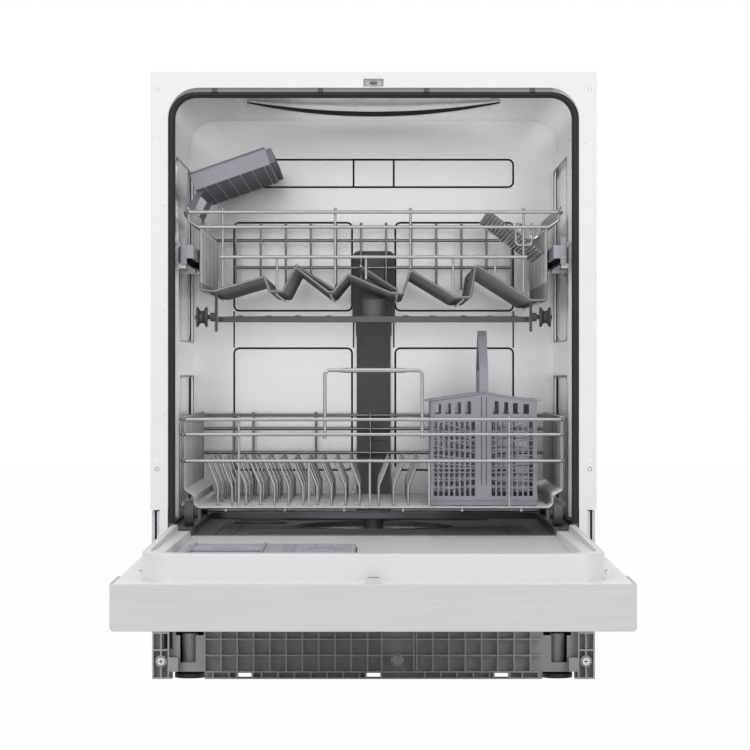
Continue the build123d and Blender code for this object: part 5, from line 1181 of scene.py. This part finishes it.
@dataclass
class DispenserTrim(Trim):
    """Gasket, rim, wells and scale of the dispenser set in the door, ribs of its lid and knurls of its cap."""

    body: ClassVar[str] = "door"
    on_door: ClassVar[bool] = True
    low: Span = (-234.0, 397.0)
    high: Span = (-22.0, 567.0)
    cap: Span = (-62.0, 500.0)
    well_z: float = 436.0
    knurls: int = 12

    def build(self) -> None:
        """Adds every piece of the dispenser."""
        dish, top = Place.DISH_Y, Place.DISH_Y + 4.5
        (x0, z0), (x1, z1) = self.low, self.high
        size, middle = (x1 - x0, z1 - z0), ((x0 + x1) / 2, (z0 + z1) / 2)
        seal = rounded_band(size, middle, (3.0, -1.0), (11.5, 9.5), dish, dish + 1.2)
        self.add("dispenser_gasket", "dispenser_housing", SEAL_RUBBER, seal)
        lips = rounded_band(size, middle, (-5.0, -9.0), (8.0, 6.5), top - 0.2, top + 0.7)
        self.add("dispenser_rim", "dispenser_housing", VIOLET_PALE, lips)
        cap_x, cap_z = self.cap
        well = (cap_x, top, self.well_z)
        wells = [ring((cap_x, top, cap_z), ALONG_Y, 23.0, 1.0, 44, 8), ring(well, ALONG_Y, 11.0, 0.8, 32, 8),
                 lathe([(0, 0), (8.0, 0), (7.0, 1.2), (0, 1.6)], well, ALONG_Y, 28)]
        wells += [box(-112.0, -96.0, top - 0.1, top + 1.0, z - 0.7, z + 0.7, 0.3)
                  for z in np.arange(412.0, 560.0, 12.0)]
        self.add("dispenser_wells", "dispenser_housing", VIOLET_PLASTIC, wells)
        y = dish + 7.0
        ribs = [box(x - 1.0, x + 1.0, y, y + 0.9, 474.0, 516.0, 0.3) for x in np.arange(-210.0, -148.0, 12.0)]
        self.add("lid_grip_ribs", "dispenser_lid", VIOLET_PALE, ribs, body="dispenser_lid")
        face, reach = dish + 5.4, 15.6
        cap = [ring((cap_x, face, cap_z), ALONG_Y, 18.6, 0.7, 40, 8)]
        cap += [lathe([(0, 0), (1.2, 0), (1.0, 0.8), (0, 1.0)],
                      (cap_x + reach * math.cos(turn), face, cap_z + reach * math.sin(turn)), ALONG_Y, 10)
                for turn in angles(self.knurls)]
        self.add("rinse_cap_knurls", "rinse_cap", VIOLET_PLASTIC, cap, body="rinse_cap")


@dataclass
class BaseTrim(Trim):
    """Threads and treads of the feet, and the slots, rings, pips and screws of the base front, with black painted
    shade in the slots and behind the foot windows.

    Attributes:
        corner_x: place of the corner bosses across the base, either side of the middle.
        adjuster: middle of the rear foot's adjuster in the base front, as X and Z.
    """

    corner_x: float = 287.0
    adjuster: Span = (32.7, 27.0)

    def build(self) -> None:
        """Adds every piece of the base."""
        feet, corners = (-Place.FOOT_X, Place.FOOT_X), (-self.corner_x, self.corner_x)
        stems = [thread((x, Place.FOOT_Y, 12.0), 5.0, 0.8, 2.0, 24) for x in feet]
        self.add("front_foot_threads", "front_feet", FEET_BLACK, stems, body="front_feet")
        self.add("rear_foot_thread", "rear_foot", FEET_BLACK,
                 thread((0.0, 470.0, 14.0), 5.0, 0.0, 2.0, 2, 16), body="rear_foot")
        treads = [ring((x, Place.FOOT_Y, 0.9), ALONG_Z, r, 0.7, 40, 6) for x in feet for r in (10.0, 15.0, 19.0)]
        self.add("foot_treads", "front_feet", FEET_BLACK, treads, body="front_feet")
        # Black strips in the base front's slot: painted shade inside the opening.
        slot = [box(-283.3, -272.4, 42.8, 43.6, 40.8, 63.1), box(-283.3, -279.8, 40.0, 43.2, 50.0, 52.6)]
        self.add("base_slot_shade", "base_tray", BLACK_LINE, slot, flat=True)
        arc = np.linspace(0.0, math.pi, 17)
        half_ring = np.stack([7.0 * np.cos(arc), np.full(arc.shape, 31.6), 104.0 + 7.0 * np.sin(arc)], axis=1)
        halves = [tube(half_ring + (x, 0.0, 0.0), 1.2, ALONG_Y, 8) for x in corners]
        self.add("base_half_rings", "base_tray", LIFTED_BASE_PLASTIC, halves)
        boss = [ring((x, 30.2, 25.0), ALONG_Y, 7.2, 0.8, 32, 8) for x in corners]
        boss.append(ring((self.adjuster[0], 32.8, self.adjuster[1]), ALONG_Y, 8.2, 0.8, 32, 8))
        self.add("base_boss_rings", "base_tray", LIFTED_BASE_PLASTIC, boss)
        pips = [lathe([(0, 0), (1.8, 0), (1.6, 1.0), (0, 1.2)], (x, 43.6, z), TO_FRONT, 12)
                for x in (-206.0, -118.0, -30.0, 80.0, 124.0, 190.0) for z in (21.0, 65.5)]
        self.add("base_pips", "base_tray", LIFTED_BASE_PLASTIC, pips)
        cap = lathe([(3.2, 0), (6.9, 0), (6.9, 1.2), (5.6, 1.8), (3.2, 1.8)],
                    (self.adjuster[0], 31.6, self.adjuster[1]), TO_FRONT, 6)
        self.add("adjuster_cap", "base_hardware", LIFTED_BASE_PLASTIC, cap, flat=True)
        # Black crosses on the screw heads: painted shade in their slots.
        cross = [box(x - dx, x + dx, 27.3, 27.7, 25.0 - dz, 25.0 + dz) for x in corners
                 for dx, dz in ((2.9, 0.5), (0.5, 2.9))]
        self.add("base_screw_slot_shade", "base_hardware", BLACK_LINE, cross, flat=True)
        # Black sheets behind the foot windows: painted shade inside the base.
        backs = [box(x - 21.0, x + 21.0, 96.0, 98.0, 14.0, 86.0) for x in feet]
        self.add("foot_window_shade_backs", "base_tray", BLACK_LINE, backs, flat=True)


@dataclass
class PanelTrim(Trim):
    """Pressed lines, folds, screws and vents of the outer sheets, rings on the connections, coils of the springs.

    Attributes:
        beads: for each pressed outline of the sides its Y and its Z range.
        service_z: height of the water, drain and cord connections.
        rear_y: place of the rear sheet's screws.
    """

    beads: tuple[tuple[float, ...], ...] = ((60.0, 500.0, 160.0, 420.0), (60.0, 500.0, 470.0, 760.0))
    service_z: float = 66.0
    rear_y: float = 548.9

    def build(self) -> None:
        """Adds every piece of the outer sheets."""
        lines = []
        for y0, y1, z0, z1 in self.beads:
            outline = rounded_rectangle(y1 - y0, z1 - z0, 22.0, 8)
            path = outline_path(outline, 0, Place.HALF_W - 1.0, ((y0 + y1) / 2, (z0 + z1) / 2))
            lines.append(tube(path, 1.0, ALONG_X, 8, True))
        self.add("side_panel_beads", "side_panels", GALVANISED, lines, pair=True)
        fold = box(294.8, 298.8, 20.5, 21.2, 124.0, 229.0)
        self.add("side_panel_folds", "side_panels", GALVANISED, fold, pair=True, flat=True)
        rivet = lathe([(0, 0), (4.2, 0), (3.9, 0.6), (2.0, 0.95), (0, 1.0)], ORIGIN, ALONG_Y, 18)
        spots = [(x, self.rear_y, z) for x in np.arange(-270.0, 271.0, 90.0) for z in (132.0, 240.0, 800.0)]
        self.add("rear_screws", "rear_panel", ZINC_BRIGHT, repeated(rivet, spots))
        # Black strips in the rear panel's vents: painted shade inside the openings.
        vents = [box(x - 16.0, x + 16.0, 548.8, 549.0, z - 1.4, z + 1.4) for x in np.arange(-200.0, 201.0, 50.0)
                 for z in (216.0, 224.0, 232.0)]
        self.add("rear_vent_shade", "rear_panel", BLACK_LINE, vents, flat=True)
        rings = [ring((240.0, y, self.service_z), ALONG_Y, 13.2, 0.5, 40, 6)
                 for y in np.arange(534.0, 545.0, 2.0)]
        self.add("inlet_thread_rings", "inlet_valve", PALE_PLASTIC, rings)
        barbs = [ring((190.0, y, self.service_z), ALONG_Y, 10.0, 0.6, 32, 6) for y in (535.0, 539.0, 543.0)]
        self.add("drain_barbs", "pumps", MID_PLASTIC, barbs)
        gland = ring((-230.0, 535.8, self.service_z), ALONG_Y, 7.0, 0.7, 32, 8)
        self.add("gland_ring", "base_tray", FEET_BLACK, gland)
        coils = [ring((s * 285.0, y, 96.0), ALONG_Y, 8.1, 0.9, 16, 6) for s in (-1, 1)
                 for y in np.arange(122.0, 349.0, 3.2)]
        self.add("spring_coils", "door_springs", SPRING_STEEL, coils)
        seams = [box(-281.0, 281.0, y - 1.0, y + 1.0, 800.7, 801.4) for y in (150.0, 390.0)]
        self.add("wrap_seams", "insulation", BLACK_LINE, seams, flat=True)


@dataclass(frozen=True)
class Lamp:
    """One soft area lamp."""

    name: str
    place: Vector
    size: float
    power: float


@dataclass
class Studio:
    """Floor, world, lamps and camera of a plain photo studio.

    Attributes:
        lamps: the area lamps.
        aim: the point that the lamps look at, in metres.
        world_light: strength of the world's light on the object.
        floor_grey: how pale the floor is where it takes light.
        floor_glow: share of plain white where the floor is seen.
        floor_half: half of the floor's side, in metres.
        sensor: width of the camera's sensor, in millimetres.
        lens: its focal length, in millimetres.
        sight: how far it sees, in metres.
        camera_x: its place across, in metres.
        camera_away: its distance from the front frame, in millimetres.
        camera_height: its height, in metres.
    """

    lamps: tuple[Lamp, ...] = (
        Lamp("key", (-1.7, -2.6, 2.9), 1.8, 46.0),
        Lamp("fill", (2.1, -2.8, 2.1), 2.2, 26.0),
        Lamp("top", (0.0, -0.4, 2.9), 1.6, 16.0),
    )
    aim: Vector = (0.0, -0.05, 0.42)
    world_light: float = 0.62
    floor_grey: float = 0.82
    floor_glow: float = 0.975
    floor_half: float = 9.0
    sensor: float = 36.0
    lens: float = 143.2
    sight: float = 60.0
    camera_x: float = 0.002
    camera_away: float = 4000.0
    camera_height: float = 0.4117

    def build(self) -> None:
        """Sets up the whole studio."""
        bpy.context.scene.view_settings.view_transform = "Standard"
        self._world()
        self._floor()
        for lamp in self.lamps:
            self._lamp(lamp)
        self._camera()

    @staticmethod
    def _seen(graph: Graph) -> Socket:
        """1 on camera, glossy and transmission rays, 0 on the rest."""
        rays = graph.add("ShaderNodeLightPath").outputs
        straight = graph.maths("MAXIMUM", rays["Is Camera Ray"], rays["Is Glossy Ray"])
        return graph.maths("MAXIMUM", straight, rays["Is Transmission Ray"])

    def _world(self) -> None:
        """White where it is seen, a softer white where it lights."""
        world = bpy.data.worlds.new("studio")
        bpy.context.scene.world = world
        graph = Graph.fresh(world)
        lit = graph.add("ShaderNodeBackground", {"Color": WHITE, "Strength": self.world_light})
        seen = graph.add("ShaderNodeBackground", {"Color": WHITE, "Strength": 1.0})
        graph.add("ShaderNodeOutputWorld", {"Surface": graph.mixed(self._seen(graph), lit, seen)})

    def _floor(self) -> None:
        """A plain pale floor that keeps a light shadow and otherwise reads as white."""
        material = bpy.data.materials.new("studio_floor")
        graph = Graph.fresh(material)
        matt = graph.add("ShaderNodeBsdfDiffuse", {"Color": (*[self.floor_grey] * 3, 1.0)})
        glow = graph.add("ShaderNodeEmission", {"Color": WHITE, "Strength": 1.0})
        share = graph.maths("MULTIPLY", self._seen(graph), self.floor_glow)
        graph.add("ShaderNodeOutputMaterial", {"Surface": graph.mixed(share, matt, glow)})
        mesh = bpy.data.meshes.new("studio_floor")
        half = self.floor_half
        corners = [(-half, -half, 0), (half, -half, 0), (half, half, 0), (-half, half, 0)]
        mesh.from_pydata(corners, [], [(0, 1, 2, 3)])
        mesh.materials.append(material)
        linked("studio_floor", mesh)

    def _lamp(self, lamp: Lamp) -> None:
        """One area lamp turned to the object: its -Z looks along the line to the aim."""
        data = bpy.data.lights.new(lamp.name, "AREA")
        data.shape = "SQUARE"
        data.size = lamp.size
        data.energy = lamp.power
        thing = linked(lamp.name, data)
        thing.location = lamp.place
        away = np.array(self.aim) - np.array(lamp.place)
        flat = math.hypot(away[0], away[1])
        thing.rotation_euler = (math.atan2(flat, -away[2]), 0.0, math.atan2(away[1], away[0]) - math.pi / 2)

    def _camera(self) -> None:
        """The photograph's camera: level, in front of the frame, with the horizon at mid height."""
        data = bpy.data.cameras.new("camera")
        data.sensor_width = self.sensor
        data.lens = self.lens
        data.clip_end = self.sight
        camera = linked("camera", data)
        camera.location = (self.camera_x, (Place.SHIFT_Y - self.camera_away) / MM_PER_M, self.camera_height)
        camera.rotation_euler = (math.pi / 2, 0.0, 0.0)
        bpy.context.scene.camera = camera


@dataclass
class Dishwasher:
    """The whole machine: materials on every CAD node, then the fine pieces by sub-assembly."""

    frame: dict
    materials: MaterialKit = field(default_factory=MaterialKit)

    def build(self) -> None:
        """Dresses the CAD nodes and adds all trims."""
        self._dress_nodes()
        for part in (TubTrim, SealTrim, FrameTrim, UpperBasketTrim, SprayTrim, LowerBasketTrim, DoorTrim,
                     DispenserTrim, BaseTrim, PanelTrim):
            LOG.info("building %s", part.__name__)
            part(self.materials).build()

    def _dress_nodes(self) -> None:
        """Gives every CAD node its finish."""
        for name, node in self.frame["nodes"].items():
            node.data.materials.clear()
            node.data.materials.append(self.materials.get(NODE_FINISH[name]))


def main() -> None:
    """Loads the frame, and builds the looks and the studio."""
    logging.basicConfig(level=logging.INFO, format="%(name)s: %(message)s")
    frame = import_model()
    Dishwasher(frame).build()
    Studio().build()


if __name__ == "__main__":
    main()
